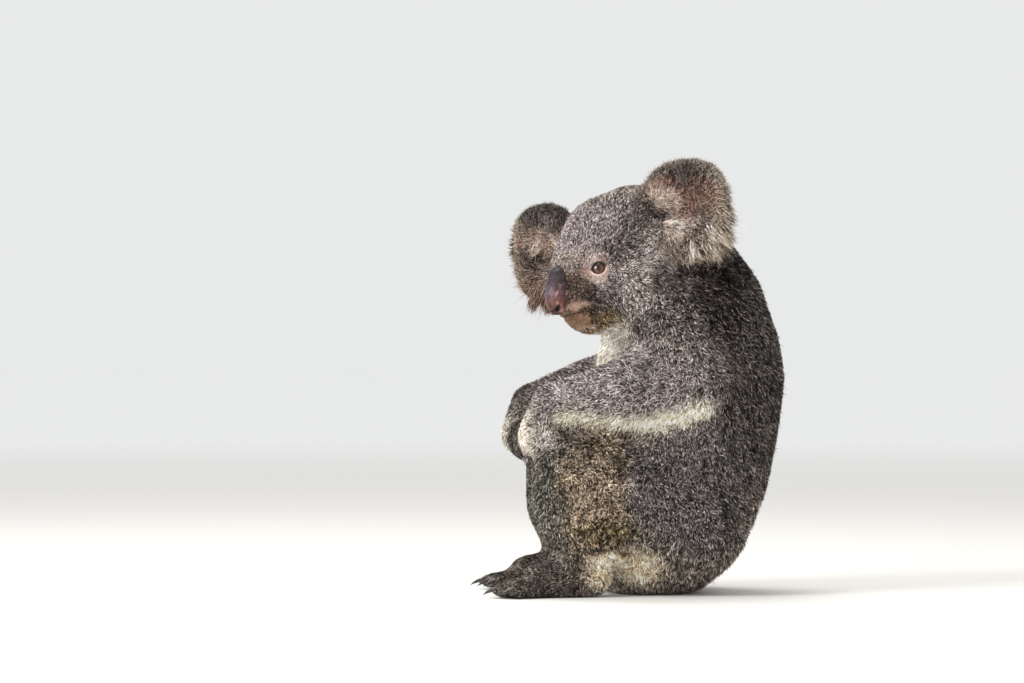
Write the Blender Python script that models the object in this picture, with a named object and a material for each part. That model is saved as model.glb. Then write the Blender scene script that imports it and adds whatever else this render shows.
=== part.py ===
"""Seated koala, a life-size still model: hands over its knees, head turned to its left, looking ahead of it.

Units are metres. +Z is up, the body faces -Y and the koala's left side is at +X.
The coat is first modelled as one surface, out to the tips of the fur, then parted into named solids by thin cuts.
"""

import math

import bmesh
import bpy
from mathutils import Matrix, Vector

# ---------------------------------------------------------------- driving dimensions
GAP = 0.0003  # clearance left between neighbouring solids
BODY_VOXEL = 0.0045  # grid of the first, soft union of the large masses
FINE_VOXEL = 0.0024  # grid of the second union, which keeps fingers and ears
PARTING_MARGIN = 0.0035  # how far a parting volume stands outside the flesh that it claims
COAT_TRIANGLES = 2400  # the whole coat, before it is parted
FLOOR_CUT = 0.0015  # how much is planed off to leave the resting flats

HEAD_PLACE = Vector((0.010, -0.026, 0.344))  # midway between the two ears
HEAD_TURN = math.radians(36)  # towards the koala's left
HEAD_TILT = math.radians(12.9)  # left ear raised

EAR_SPREAD = {"left": 0.087, "right": 0.093}  # from the middle of the head to the middle of an ear
EAR_SWING = {"left": math.radians(24), "right": math.radians(2)}  # how far an ear opens outwards
EAR_LEAN = {"left": math.radians(-4), "right": math.radians(14)}  # lower edge towards the head
EAR_RADII = (0.047, 0.015, 0.050)
EYE_PLACE = (0.0248, -0.0660, -0.0446)
EYE_RADIUS = 0.0085
TOE_RADIUS = 0.0082
FINGER_RADIUS = 0.0070
CLAW_RADIUS = 0.0026
CLAW_LENGTH = 0.013

COLOURS = {  # linear base colour and roughness
    "grey_coat": ((0.160, 0.138, 0.130), 0.95),
    "pale_coat": ((0.560, 0.470, 0.380), 0.95),
    "dark_coat": ((0.050, 0.040, 0.036), 0.95),
    "nose_skin": ((0.110, 0.070, 0.070), 0.45),
    "brown_eye": ((0.100, 0.045, 0.020), 0.08),
    "horn": ((0.035, 0.030, 0.028), 0.35),
}


# ---------------------------------------------------------------- the skeleton that carries the flesh
def mirrored(point, side):
    """A point given for the left side (+X), on the side asked for."""
    x, y, z = point
    return Vector((x if side == "left" else -x, y, z))


SIDES = ("left", "right")
SHOULDER = (0.060, 0.010, 0.258)
ELBOW = (0.086, 0.036, 0.192)
FOREARM = (0.076, -0.034, 0.192)
WRIST = (0.053, -0.098, 0.179)
KNUCKLES = (0.046, -0.113, 0.150)
FINGERS = {  # each digit from its knuckle over its middle to its tip; the first two oppose the others
    1: ((0.044, -0.094, 0.160), (0.028, -0.093, 0.156), (0.018, -0.090, 0.147)),
    2: ((0.040, -0.103, 0.163), (0.024, -0.104, 0.161), (0.013, -0.101, 0.153)),
    3: ((0.040, -0.113, 0.160), (0.024, -0.119, 0.157), (0.012, -0.116, 0.149)),
    4: ((0.044, -0.117, 0.151), (0.028, -0.122, 0.147), (0.016, -0.118, 0.139)),
    5: ((0.050, -0.116, 0.144), (0.035, -0.119, 0.138), (0.025, -0.115, 0.130)),
}
HIP = (0.055, 0.032, 0.068)
LEG = {  # knee, middle of the shin, ankle, heel and ball of the foot; the right leg is tucked a little further back
    "left": ((0.068, -0.090, 0.124), (0.070, -0.096, 0.086), (0.068, -0.079, 0.036), 0.0),
    "right": ((0.068, -0.074, 0.118), (0.068, -0.076, 0.082), (0.066, -0.062, 0.036), 0.015),
}
CALF = (0.073, -0.050, 0.068)  # the woolly back of the lower leg
CALF_RADIUS = 0.036
LAP = (0.064, -0.060, 0.126)  # the top of the thigh, behind the knee
LAP_RADIUS = 0.034
HEEL = (0.067, -0.064, 0.0200)
BALL = (0.072, -0.116, 0.0170)
TOES = {  # the first has no claw and points inwards; the second and third are joined
    1: ((0.060, -0.096, 0.012), (0.044, -0.108, 0.0095)),
    2: ((0.064, -0.126, 0.012), (0.057, -0.147, 0.0090)),
    3: ((0.069, -0.128, 0.012), (0.067, -0.150, 0.0090)),
    4: ((0.076, -0.128, 0.012), (0.079, -0.154, 0.0090)),
    5: ((0.083, -0.120, 0.012), (0.092, -0.142, 0.0090)),
}

HEAD = (
    Matrix.Translation(HEAD_PLACE)
    @ Matrix.Rotation(HEAD_TURN, 4, "Z")
    @ Matrix.Rotation(-HEAD_TILT, 4, "Y")
)
HEAD_AXES = HEAD.to_3x3().to_4x4()

# the head's masses in its own frame: +X to its left, +Y to its back, +Z up
MUZZLE_MASS = ((0, -0.070, -0.064), (0.026, 0.032, 0.024))
HEAD_MASSES = [
    ((0, -0.015, -0.014), (0.055, 0.053, 0.051)),  # cranium
    ((0.026, -0.012, -0.004), (0.044, 0.042, 0.043)),  # crown, towards the left ear
    ((0.033, -0.026, -0.050), (0.036, 0.039, 0.037)),  # left cheek
    ((-0.031, -0.024, -0.050), (0.035, 0.037, 0.036)),  # right cheek
    ((0.030, -0.032, -0.035), (0.036, 0.038, 0.034)),  # left temple
    ((-0.029, -0.031, -0.035), (0.036, 0.038, 0.034)),  # right temple
    MUZZLE_MASS,
    ((0, -0.066, -0.038), (0.022, 0.033, 0.022)),  # bridge of the nose
]
JAW_MASS = ((0, -0.050, -0.084), (0.023, 0.041, 0.017))
MOUTH_HEIGHT = -0.0845


# ---------------------------------------------------------------- shapes
def ball(mesh, centre, radii, axes=None, grow=0.0, fine=3):
    """Adds an ellipsoid. radii is one number, or three along the axes given."""
    if isinstance(radii, float):
        radii = (radii, radii, radii)
    scale = Matrix.Diagonal((*[r + grow for r in radii], 1.0))
    place = Matrix.Translation(Vector(centre)) @ (axes or Matrix.Identity(4)) @ scale
    bmesh.ops.create_icosphere(mesh, subdivisions=fine, radius=1.0, matrix=place)


def cone(mesh, start, r_start, end, r_end, grow=0.0):
    """Adds a tapered rod from start to end."""
    span = end - start
    turn = span.to_track_quat("Z", "Y").to_matrix().to_4x4()
    bmesh.ops.create_cone(
        mesh,
        cap_ends=True,
        segments=24,
        radius1=r_start + grow,
        radius2=r_end + grow,
        depth=span.length,
        matrix=Matrix.Translation((start + end) / 2) @ turn,
    )


def limb(mesh, stops, grow=0.0):
    """Adds a tapered limb through stops, each a point and a radius."""
    for point, radius in stops:
        ball(mesh, point, radius, grow=grow)
    for (start, r_start), (end, r_end) in zip(stops, stops[1:]):
        cone(mesh, start, r_start, end, r_end, grow)


def trunk(mesh):
    """Adds the trunk: ellipses from the seat to the nape, bridged into one shell."""
    stations = [  # height, front, back, half width
        (0.000, -0.040, 0.048, 0.056),
        (0.012, -0.054, 0.068, 0.076),
        (0.045, -0.062, 0.094, 0.096),
        (0.090, -0.062, 0.114, 0.102),
        (0.150, -0.058, 0.128, 0.100),
        (0.205, -0.048, 0.137, 0.094),
        (0.250, -0.040, 0.130, 0.086),
        (0.290, -0.026, 0.113, 0.073),
        (0.325, 0.004, 0.092, 0.056),
        (0.344, 0.028, 0.074, 0.026),
    ]
    rings = []
    for height, front, back, half_width in stations:
        place = Matrix.Translation((0, (front + back) / 2, height))
        place = place @ Matrix.Diagonal((half_width, (back - front) / 2, 1, 1))
        made = bmesh.ops.create_circle(mesh, segments=32, radius=1.0, matrix=place)
        ring = set(made["verts"])
        rings.append([edge for edge in mesh.edges if set(edge.verts) <= ring])
    for low, high in zip(rings, rings[1:]):
        bmesh.ops.bridge_loops(mesh, edges=low + high)
    for end in (rings[0], rings[-1]):
        bmesh.ops.contextual_create(mesh, geom=end)


def head_ball(mesh, mass, grow=0.0, fine=3):
    centre, radii = mass
    ball(mesh, HEAD @ Vector(centre), radii, HEAD_AXES, grow, fine)


def ear_frame(side):
    """The ear's own frame: +X away from the head on the left, +Y behind the ear, +Z up."""
    sign = 1 if side == "left" else -1
    swing = Matrix.Rotation(sign * EAR_SWING[side], 4, "Z")
    lean = Matrix.Rotation(-sign * EAR_LEAN[side], 4, "Y")
    return HEAD @ Matrix.Translation((sign * EAR_SPREAD[side], 0, 0)) @ swing @ lean


def ear_root(mesh, side, grow=0.0):
    sign = 1 if side == "left" else -1
    frame = ear_frame(side)
    axes = frame.to_3x3().to_4x4()
    ball(mesh, frame @ Vector((-sign * 0.032, 0.006, -0.010)), (0.024, 0.021, 0.030), axes, grow)


def ear_disc(mesh, side, grow=0.0, fine=3):
    frame = ear_frame(side)
    ball(mesh, frame.translation, EAR_RADII, frame.to_3x3().to_4x4(), grow, fine)


def ear_rim(mesh, side):
    """Adds the thick furry rim, a ring of balls round the upper and outer edge that stands forward of the disc."""
    sign = 1 if side == "left" else -1
    frame = ear_frame(side)
    for step in range(15):
        angle = math.radians(-55 + step * 14)
        across, up = math.cos(angle), math.sin(angle)
        forward = -0.007 if angle > 0 else -0.004
        point = Vector((sign * across * 0.0345, forward, up * 0.0375))
        ball(mesh, frame @ point, 0.0125, fine=2)


def ear_hollow(mesh, side):
    """Adds the volume that is scooped out of the front of an ear."""
    sign = 1 if side == "left" else -1
    frame = ear_frame(side)
    axes = frame.to_3x3().to_4x4()
    ball(mesh, frame @ Vector((-sign * 0.004, -0.019, -0.006)), (0.026, 0.016, 0.030), axes)


def arm_stops(side):
    points = (SHOULDER, ELBOW, FOREARM, WRIST, KNUCKLES)
    radii = (0.043, 0.031, 0.035, 0.0225, 0.019)
    return [(mirrored(point, side), radius) for point, radius in zip(points, radii)]


def leg_stops(side):
    knee, shin, ankle, _ = LEG[side]
    return [
        (mirrored(HIP, side), 0.058),
        (mirrored(knee, side), 0.030),
        (mirrored(shin, side), 0.028),
        (mirrored(ankle, side), 0.020),
    ]


def foot_point(point, side):
    x, y, z = point
    return mirrored((x, y + LEG[side][3], z), side)


def foot_stops(side):
    return [(foot_point(HEEL, side), 0.0205), (foot_point(BALL, side), 0.0175)]


def finger_stops(side, digit):
    radii = (FINGER_RADIUS * 1.15, FINGER_RADIUS, FINGER_RADIUS * 0.85)
    return [(mirrored(point, side), radius) for point, radius in zip(FINGERS[digit], radii)]


def toe_stops(side, digit):
    radii = (TOE_RADIUS * 1.1, TOE_RADIUS * 0.95)
    return [(foot_point(point, side), radius) for point, radius in zip(TOES[digit], radii)]


def claw(mesh, stops, grow=0.0):
    """Adds a curved claw that leaves the end of a digit and bends downwards, as a rod of shrinking rings."""
    (before, _), (tip, radius) = stops[-2:]
    along = (tip - before).normalized()
    lateral = along.cross(Vector((0, 0, 1))).normalized()
    bend = lateral.cross(along).normalized() * -1
    if bend.z > 0:
        bend = -bend
    rings = []
    steps = 3
    start = tip + along * (radius * 0.35 - grow) - bend * radius * 0.2
    for step in range(steps):
        part = step / steps
        reach = CLAW_LENGTH + radius * 0.65 + 2 * grow
        middle = start + along * reach * part * (1 - 0.22 * part) + bend * 0.30 * CLAW_LENGTH * part * part
        width = CLAW_RADIUS * (1 - part) ** 0.7 + grow
        ring = []
        for turn in range(5):
            angle = turn * math.tau / 5
            offset = lateral * math.cos(angle) * width * 0.8 + bend * math.sin(angle) * width
            ring.append(mesh.verts.new(middle + offset))
        rings.append(ring)
    end = mesh.verts.new(start + along * reach * 0.78 + bend * 0.30 * CLAW_LENGTH)
    mesh.faces.new(rings[0])
    for low, high in zip(rings, rings[1:]):
        for turn in range(5):
            after = (turn + 1) % 5
            mesh.faces.new((low[turn], low[after], high[after], high[turn]))
    for turn in range(5):
        mesh.faces.new((rings[-1][turn], rings[-1][(turn + 1) % 5], end))


def nose_masses(mesh, grow=0.0):
    """Adds the upright leathery pad: narrow above, full and round below."""
    nod = HEAD_AXES @ Matrix.Rotation(math.radians(-14), 4, "X")
    ball(mesh, HEAD @ Vector((0, -0.0985, -0.0640)), (0.0138, 0.0145, 0.0190), nod, grow, 2)
    ball(mesh, HEAD @ Vector((0, -0.0925, -0.0520)), (0.0118, 0.0125, 0.0180), nod, grow, 2)


def eye_ball(mesh, side, grow=0.0):
    x, y, z = EYE_PLACE
    ball(mesh, HEAD @ Vector((x if side == "left" else -x, y, z)), EYE_RADIUS, grow=grow, fine=2)


# ---------------------------------------------------------------- from masses to one coat
def new_object(name, mesh):
    """A linked object that holds a bmesh, which is freed."""
    data = bpy.data.meshes.new(name)
    bmesh.ops.recalc_face_normals(mesh, faces=mesh.faces)
    mesh.to_mesh(data)
    mesh.free()
    thing = bpy.data.objects.new(name, data)
    bpy.context.scene.collection.objects.link(thing)
    return thing


def settle(thing):
    """Applies an object's modifiers."""
    bpy.context.view_layer.update()
    graph = bpy.context.evaluated_depsgraph_get()
    data = bpy.data.meshes.new_from_object(thing.evaluated_get(graph))
    thing.modifiers.clear()
    thing.data = data


def melt(thing, voxel, rounds):
    """Joins overlapping shells into one and softens the creases between them."""
    remesh = thing.modifiers.new("union", "REMESH")
    remesh.mode = "VOXEL"
    remesh.voxel_size = voxel
    smooth = thing.modifiers.new("soften", "SMOOTH")
    smooth.factor = 0.5
    smooth.iterations = rounds
    settle(thing)


def boolean(thing, operation, other):
    """Cuts or intersects a mesh object with another, which is removed."""
    cut = thing.modifiers.new("cut", "BOOLEAN")
    cut.operation = operation
    cut.solver = "EXACT"
    cut.object = other
    settle(thing)
    bpy.data.objects.remove(other)


def largest_island(thing):
    """Keeps only the largest closed piece of a mesh."""
    mesh = bmesh.new()
    mesh.from_mesh(thing.data)
    left = set(mesh.verts)
    islands = []
    while left:
        seed = left.pop()
        island = {seed}
        edge_of_search = [seed]
        while edge_of_search:
            vert = edge_of_search.pop()
            for link in vert.link_edges:
                other = link.other_vert(vert)
                if other in left:
                    left.discard(other)
                    island.add(other)
                    edge_of_search.append(other)
        islands.append(island)
    islands.sort(key=len)
    for island in islands[:-1]:
        bmesh.ops.delete(mesh, geom=list(island), context="VERTS")
    mesh.to_mesh(thing.data)
    mesh.free()


def hull_object(name, build, grow):
    """A convex volume round the shapes that build(mesh, grow) adds."""
    mesh = bmesh.new()
    build(mesh, grow)
    made = bmesh.ops.convex_hull(mesh, input=mesh.verts)
    spare = set(made["geom_interior"]) | set(made["geom_unused"])
    bmesh.ops.delete(mesh, geom=[g for g in spare if isinstance(g, bmesh.types.BMVert)], context="VERTS")
    hull = set(made["geom"])
    bmesh.ops.delete(mesh, geom=[face for face in mesh.faces if face not in hull], context="FACES_ONLY")
    bmesh.ops.delete(mesh, geom=[edge for edge in mesh.edges if not edge.link_faces], context="EDGES")
    return new_object(name, mesh)


def part_off(name, build, margin=PARTING_MARGIN):
    """Parts a named solid from the coat with the convex volume of its own masses."""
    piece = coat.copy()
    piece.data = coat.data.copy()
    piece.name = name
    bpy.context.scene.collection.objects.link(piece)
    boolean(piece, "INTERSECT", hull_object("volume", build, margin))
    largest_island(piece)
    boolean(coat, "DIFFERENCE", hull_object("volume", build, margin + GAP))
    return piece


def finish(thing, colour):
    """Names the mesh and gives the solid its own material."""
    thing.data.name = thing.name
    material = bpy.data.materials.new(thing.name + "_" + colour)
    material.use_nodes = True
    surface = material.node_tree.nodes["Principled BSDF"]
    base, roughness = COLOURS[colour]
    surface.inputs["Base Color"].default_value = (*base, 1)
    surface.inputs["Roughness"].default_value = roughness
    thing.data.materials.clear()
    thing.data.materials.append(material)


for leftover in list(bpy.data.objects):
    bpy.data.objects.remove(leftover)

# the large masses, melted softly
masses = bmesh.new()
trunk(masses)
for mass in (*HEAD_MASSES, JAW_MASS):
    head_ball(masses, mass)
limb(masses, [(Vector((0, 0.048, 0.262)), 0.074), (Vector((0.004, 0.004, 0.306)), 0.058)])
for side in SIDES:
    limb(masses, arm_stops(side)[:3])
    limb(masses, leg_stops(side)[:2])
    ball(masses, mirrored(LAP, side), LAP_RADIUS)
    ball(masses, mirrored(CALF, side), CALF_RADIUS)
body = new_object("body", masses)
melt(body, BODY_VOXEL, 12)

# limbs, digits, ears and muzzle, melted on the fine grid
masses = bmesh.new()
masses.from_mesh(body.data)
bpy.data.objects.remove(body)
for side in SIDES:
    limb(masses, arm_stops(side)[2:])
    limb(masses, leg_stops(side)[1:])
    limb(masses, foot_stops(side))
    for digit in FINGERS:
        limb(masses, finger_stops(side, digit))
    for digit in TOES:
        limb(masses, toe_stops(side, digit))
    ear_disc(masses, side)
    ear_rim(masses, side)
    ear_root(masses, side)
head_ball(masses, MUZZLE_MASS)
head_ball(masses, JAW_MASS)
coat = new_object("coat", masses)
melt(coat, FINE_VOXEL, 1)

hollows = bmesh.new()
for side in SIDES:
    ear_hollow(hollows, side)
boolean(coat, "DIFFERENCE", new_object("hollows", hollows))
melt(coat, FINE_VOXEL, 4)

# larger facets on the trunk and the thick parts of the limbs, smaller ones on the head, hands and feet
plain = coat.vertex_groups.new(name="plain")
for vert in coat.data.vertices:
    in_head = HEAD.inverted() @ vert.co
    on_head = in_head.z > -0.10 and in_head.y < 0.03 and abs(in_head.x) < 0.15 and in_head.y > -0.12
    near = min((vert.co - mirrored(point, side)).length for side in SIDES for point in (KNUCKLES, BALL))
    plain.add([vert.index], 0.5 if on_head or near < 0.042 else 1.0, "REPLACE")
thin = coat.modifiers.new("thin", "DECIMATE")
thin.vertex_group = "plain"
thin.vertex_group_factor = 1.0
thin.ratio = COAT_TRIANGLES / sum(len(face.vertices) - 2 for face in coat.data.polygons)
settle(coat)

# the floor flats, all at one level
lowest = bmesh.new()
bmesh.ops.create_cube(lowest, size=0.8, matrix=Matrix.Translation((0, 0, FLOOR_CUT - 0.4)))
boolean(coat, "DIFFERENCE", new_object("floor", lowest))
largest_island(coat)


# ---------------------------------------------------------------- parting
def ear_volume(side):
    return lambda mesh, grow: ear_disc(mesh, side, grow + 0.003, fine=2)


def stops_volume(stops, fine=1):
    """A limb's volume. The coarsest balls are drawn larger, so that their facets still enclose the flesh."""
    swell = 1.13 if fine == 1 else 1.04

    def build(mesh, grow):
        for point, radius in stops:
            ball(mesh, point, swell * radius, grow=grow, fine=fine)

    return build


def jaw_volume(mesh, grow):
    """The lower jaw below the line of the mouth, from the lip back to the throat."""
    (x, y, z), radii = JAW_MASS
    ball(mesh, (x, y + 0.002, z), [1.12 * radius for radius in radii], grow=grow, fine=3)
    for vert in mesh.verts:
        vert.co.z = min(vert.co.z, MOUTH_HEIGHT - PARTING_MARGIN + grow)
        vert.co = HEAD @ vert.co


def head_volume(mesh, grow):
    for mass in (*HEAD_MASSES, JAW_MASS):
        head_ball(mesh, mass, grow, fine=2)


def foot_volume(side):
    toes = [stop for digit in TOES for stop in toe_stops(side, digit)]

    def build(mesh, grow):
        for point, radius in (*foot_stops(side), *toes):
            ball(mesh, point, 1.13 * radius, grow=grow, fine=1)

    return build


def hand_volume(side):
    fingers = [stop for digit in FINGERS for stop in finger_stops(side, digit)]

    def build(mesh, grow):
        for point, radius in (*arm_stops(side)[3:], *fingers):
            ball(mesh, point, 1.13 * radius, grow=grow - 0.002, fine=1)

    return build


pieces = []
for side in SIDES:
    pieces.append((part_off("ear_" + side, ear_volume(side)), "grey_coat"))
pieces.append((part_off("jaw", jaw_volume), "pale_coat"))
pieces.append((part_off("head", head_volume), "grey_coat"))
for side in SIDES:
    pieces.append((part_off("hand_" + side, hand_volume(side)), "pale_coat"))
    pieces.append((part_off("forearm_" + side, stops_volume(arm_stops(side)[1:4])), "grey_coat"))
    pieces.append((part_off("upper_arm_" + side, stops_volume(arm_stops(side)[:2])), "grey_coat"))
    pieces.append((part_off("foot_" + side, foot_volume(side)), "grey_coat"))
    lower_leg = leg_stops(side)[1:] + [(mirrored(CALF, side), CALF_RADIUS)]
    upper_leg = leg_stops(side)[:2] + [(mirrored(LAP, side), LAP_RADIUS)]
    pieces.append((part_off("shin_" + side, stops_volume(lower_leg)), "grey_coat"))
    pieces.append((part_off("thigh_" + side, stops_volume(upper_leg)), "pale_coat"))


def slab(low, high):
    """The trunk between two heights, which lean down towards the front."""

    def build(mesh, grow):
        for x in (-0.2, 0.2):
            for y in (-0.2, 0.2):
                mesh.verts.new((x, y, low + 0.15 * y - grow))
                mesh.verts.new((x, y, high + 0.15 * y + grow))

    return build


pieces.append((part_off("rump", slab(-0.1, 0.090), 0.0), "pale_coat"))
pieces.append((part_off("belly", slab(0.0, 0.180), 0.0), "grey_coat"))
pieces.append((part_off("chest", slab(0.1, 0.262), 0.0), "pale_coat"))
largest_island(coat)
coat.name = "neck"
pieces.append((coat, "dark_coat"))
by_name = {piece.name: piece for piece, _ in pieces}

# nose, eyes and claws, each seated in a socket that clears it by the gap
pieces.append((hull_object("nose", nose_masses, 0.0), "nose_skin"))
for piece in ("head", "jaw"):
    boolean(by_name[piece], "DIFFERENCE", hull_object("socket", nose_masses, GAP))
    largest_island(by_name[piece])

for side in SIDES:
    eye = bmesh.new()
    eye_ball(eye, side)
    pieces.append((new_object("eye_" + side, eye), "brown_eye"))
    socket = bmesh.new()
    eye_ball(socket, side, GAP)
    boolean(by_name["head"], "DIFFERENCE", new_object("socket", socket))
    for owner, digits, stops_of in (
        ("hand_" + side, FINGERS, finger_stops),
        ("foot_" + side, [digit for digit in TOES if digit > 1], toe_stops),
    ):
        sockets = bmesh.new()
        for digit in digits:
            horn = bmesh.new()
            claw(horn, stops_of(side, digit))
            kind = "finger" if owner.startswith("hand") else "toe"
            pieces.append((new_object(f"claw_{kind}_{digit}_{side}", horn), "horn"))
            claw(sockets, stops_of(side, digit), GAP)
        boolean(by_name[owner], "DIFFERENCE", new_object("socket", sockets))
        largest_island(by_name[owner])

# the origin goes to the middle of the bounding box, on the floor
corners = [piece.matrix_world @ Vector(corner) for piece, _ in pieces for corner in piece.bound_box]
low = Vector([min(corner[axis] for corner in corners) for axis in range(3)])
high = Vector([max(corner[axis] for corner in corners) for axis in range(3)])
shift = Vector((-(low.x + high.x) / 2, -(low.y + high.y) / 2, -low.z))
for piece, colour in pieces:
    piece.data.transform(Matrix.Translation(shift))
    piece.data.update()
    finish(piece, colour)
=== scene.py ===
# %% [markdown]
# # A seated koala, life size
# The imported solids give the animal's outline out to the tips of its fur. This lesson dresses them:
# one skin lies inside the outline by the depth of the coat, and thousands of small tufts of solid
# mesh stand on it. Eyes, lids, nose, lips and claws are pieces of their own.

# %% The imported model
import math

import bmesh
import bpy
import numpy as np
from mathutils import Matrix, Vector
from mathutils.bvhtree import BVHTree


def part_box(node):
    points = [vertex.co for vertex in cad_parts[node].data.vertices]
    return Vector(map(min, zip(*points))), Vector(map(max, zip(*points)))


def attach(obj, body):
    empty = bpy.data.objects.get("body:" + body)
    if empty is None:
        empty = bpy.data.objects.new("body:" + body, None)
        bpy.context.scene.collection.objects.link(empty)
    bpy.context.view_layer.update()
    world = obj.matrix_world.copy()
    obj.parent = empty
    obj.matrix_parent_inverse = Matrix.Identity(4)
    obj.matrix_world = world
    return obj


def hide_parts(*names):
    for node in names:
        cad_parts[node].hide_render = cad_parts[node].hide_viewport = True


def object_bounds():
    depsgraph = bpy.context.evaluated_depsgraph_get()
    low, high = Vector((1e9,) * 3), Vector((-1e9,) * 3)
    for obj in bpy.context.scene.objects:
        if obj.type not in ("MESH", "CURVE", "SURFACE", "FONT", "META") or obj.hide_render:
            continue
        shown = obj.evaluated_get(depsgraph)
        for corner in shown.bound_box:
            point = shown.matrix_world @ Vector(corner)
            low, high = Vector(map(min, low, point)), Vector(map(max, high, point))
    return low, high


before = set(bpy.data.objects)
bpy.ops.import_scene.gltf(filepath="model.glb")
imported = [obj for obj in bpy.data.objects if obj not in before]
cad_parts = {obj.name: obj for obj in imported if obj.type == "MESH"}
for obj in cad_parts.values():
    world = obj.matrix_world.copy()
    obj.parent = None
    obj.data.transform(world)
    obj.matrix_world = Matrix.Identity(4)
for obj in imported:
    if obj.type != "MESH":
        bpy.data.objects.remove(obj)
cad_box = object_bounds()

MM = 0.001
rng = np.random.default_rng(20)
print("solids:", len(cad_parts), "box in mm:", [round(x / MM) for x in cad_box[1] - cad_box[0]])

# %% [markdown]
# ## Frames of reference
# A koala's head is modelled in its own axes: X to its left, Y to its back, Z up, with the origin
# midway between the ears. Everything on the face and ears is then symmetric and easy to place, even
# though the head is turned and tilted. The eyes' solids say where those axes are. The body has
# axes of its own too, with the origin on the floor below the belly.

# %% Head, ears and body axes
SIDES = {"left": 1, "right": -1}
HEAD_TURN = math.radians(36)
HEAD_TILT = math.radians(12.9)
EYES_FROM_ORIGIN = Vector((0, -66.0, -44.6)) * MM
HEAD_ON_BODY = Vector((10, -26, 344)) * MM
EAR_SPREAD = {"left": 87 * MM, "right": 93 * MM}
EAR_SWING = {"left": math.radians(24), "right": math.radians(-2)}
EAR_LEAN = {"left": math.radians(4), "right": math.radians(14)}


def middle_of(node):
    low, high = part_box(node)
    return (low + high) / 2


def ear_axes(side):
    """X away from the head on the left side, Y behind the ear, Z up."""
    place = Matrix.Translation((SIDES[side] * EAR_SPREAD[side], 0, 0))
    swing = Matrix.Rotation(EAR_SWING[side], 4, "Z")
    lean = Matrix.Rotation(EAR_LEAN[side], 4, "Y")
    return head @ place @ swing @ lean


head_turned = Matrix.Rotation(HEAD_TURN, 4, "Z") @ Matrix.Rotation(-HEAD_TILT, 4, "Y")
between_eyes = (middle_of("eye_left") + middle_of("eye_right")) / 2
head = Matrix.Translation(between_eyes - head_turned @ EYES_FROM_ORIGIN) @ head_turned
body = Matrix.Translation(head.translation - HEAD_ON_BODY)
ears = {side: ear_axes(side) for side in SIDES}
AXES = {"head": head, "body": body, **{"ear_" + side: ears[side] for side in SIDES}}
eye_span = (middle_of("eye_left") - middle_of("eye_right")).normalized()
print("head axis error:", round((eye_span - (head_turned @ Vector((1, 0, 0)))).length, 4))

# %% [markdown]
# ## Colours and nodes
# Colours are written as sRGB hex values, as a paint chart gives them. Shaders work in linear light,
# so one function converts them all. Another one adds a node, fills its sockets and links it.


# %% Colour and node helpers
def linear(hex_colour):
    """An sRGB hex value as three linear numbers."""
    value = np.array([int(hex_colour[i : i + 2], 16) for i in (1, 3, 5)]) / 255
    return np.where(value <= 0.04045, value / 12.92, ((value + 0.055) / 1.055) ** 2.4)


def add_node(tree, kind, links=(), numbered=(), **settings):
    """Adds a shader node. A setting named for an input fills it, any other is a property.
    links are pairs of (input, output socket of another node), numbered of (input's number, value)."""
    node = tree.nodes.new("ShaderNode" + kind)
    for name, value in settings.items():
        label = name.replace("_", " ").title()
        if label in node.inputs:
            node.inputs[label].default_value = value
        else:
            setattr(node, name, value)
    for number, value in numbered:
        node.inputs[number].default_value = value
    for name, output in links:
        tree.links.new(output, node.inputs[name])
    return node


print("forehead grey in linear light:", linear("#82756F").round(3))


# %% Material helpers
def start_material(name, roughness, **sockets):
    """A material with a Principled shader, and the shader's own constants set on its sockets."""
    material = bpy.data.materials.new(name)
    material.use_nodes = True
    tree = material.node_tree
    shader = tree.nodes["Principled BSDF"]
    shader.inputs["Roughness"].default_value = roughness
    for label, value in sockets.items():
        shader.inputs[label.replace("_", " ")].default_value = value
    return material, tree, shader


print("materials so far:", len(bpy.data.materials))

# %% [markdown]
# ## Kinds of coat
# A koala's fur is short and dense. Every hair is dark at the root and pale at the tip, which gives
# the salt-and-pepper grey. Its length, depth and colour change from place to place: about 3 mm
# round the eyes, 12 mm or more on the back, long and shaggy on the ears, woolly on the thighs.
# Each row of the chart gives a coat's name and mean colour, the shares of extra pale and extra dark
# tufts, then in millimetres the tuft's length, the coat's depth and the tuft's width, and last how
# unruly and how mottled it is.

# %% The coat chart
def read_rows(text):
    """A table typed as text, as rows of words and numbers."""
    rows = [line.split() for line in text.strip().splitlines()]
    return [[float(x) if x.lstrip("-").replace(".", "").isdigit() else x for x in row] for row in rows]


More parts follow.
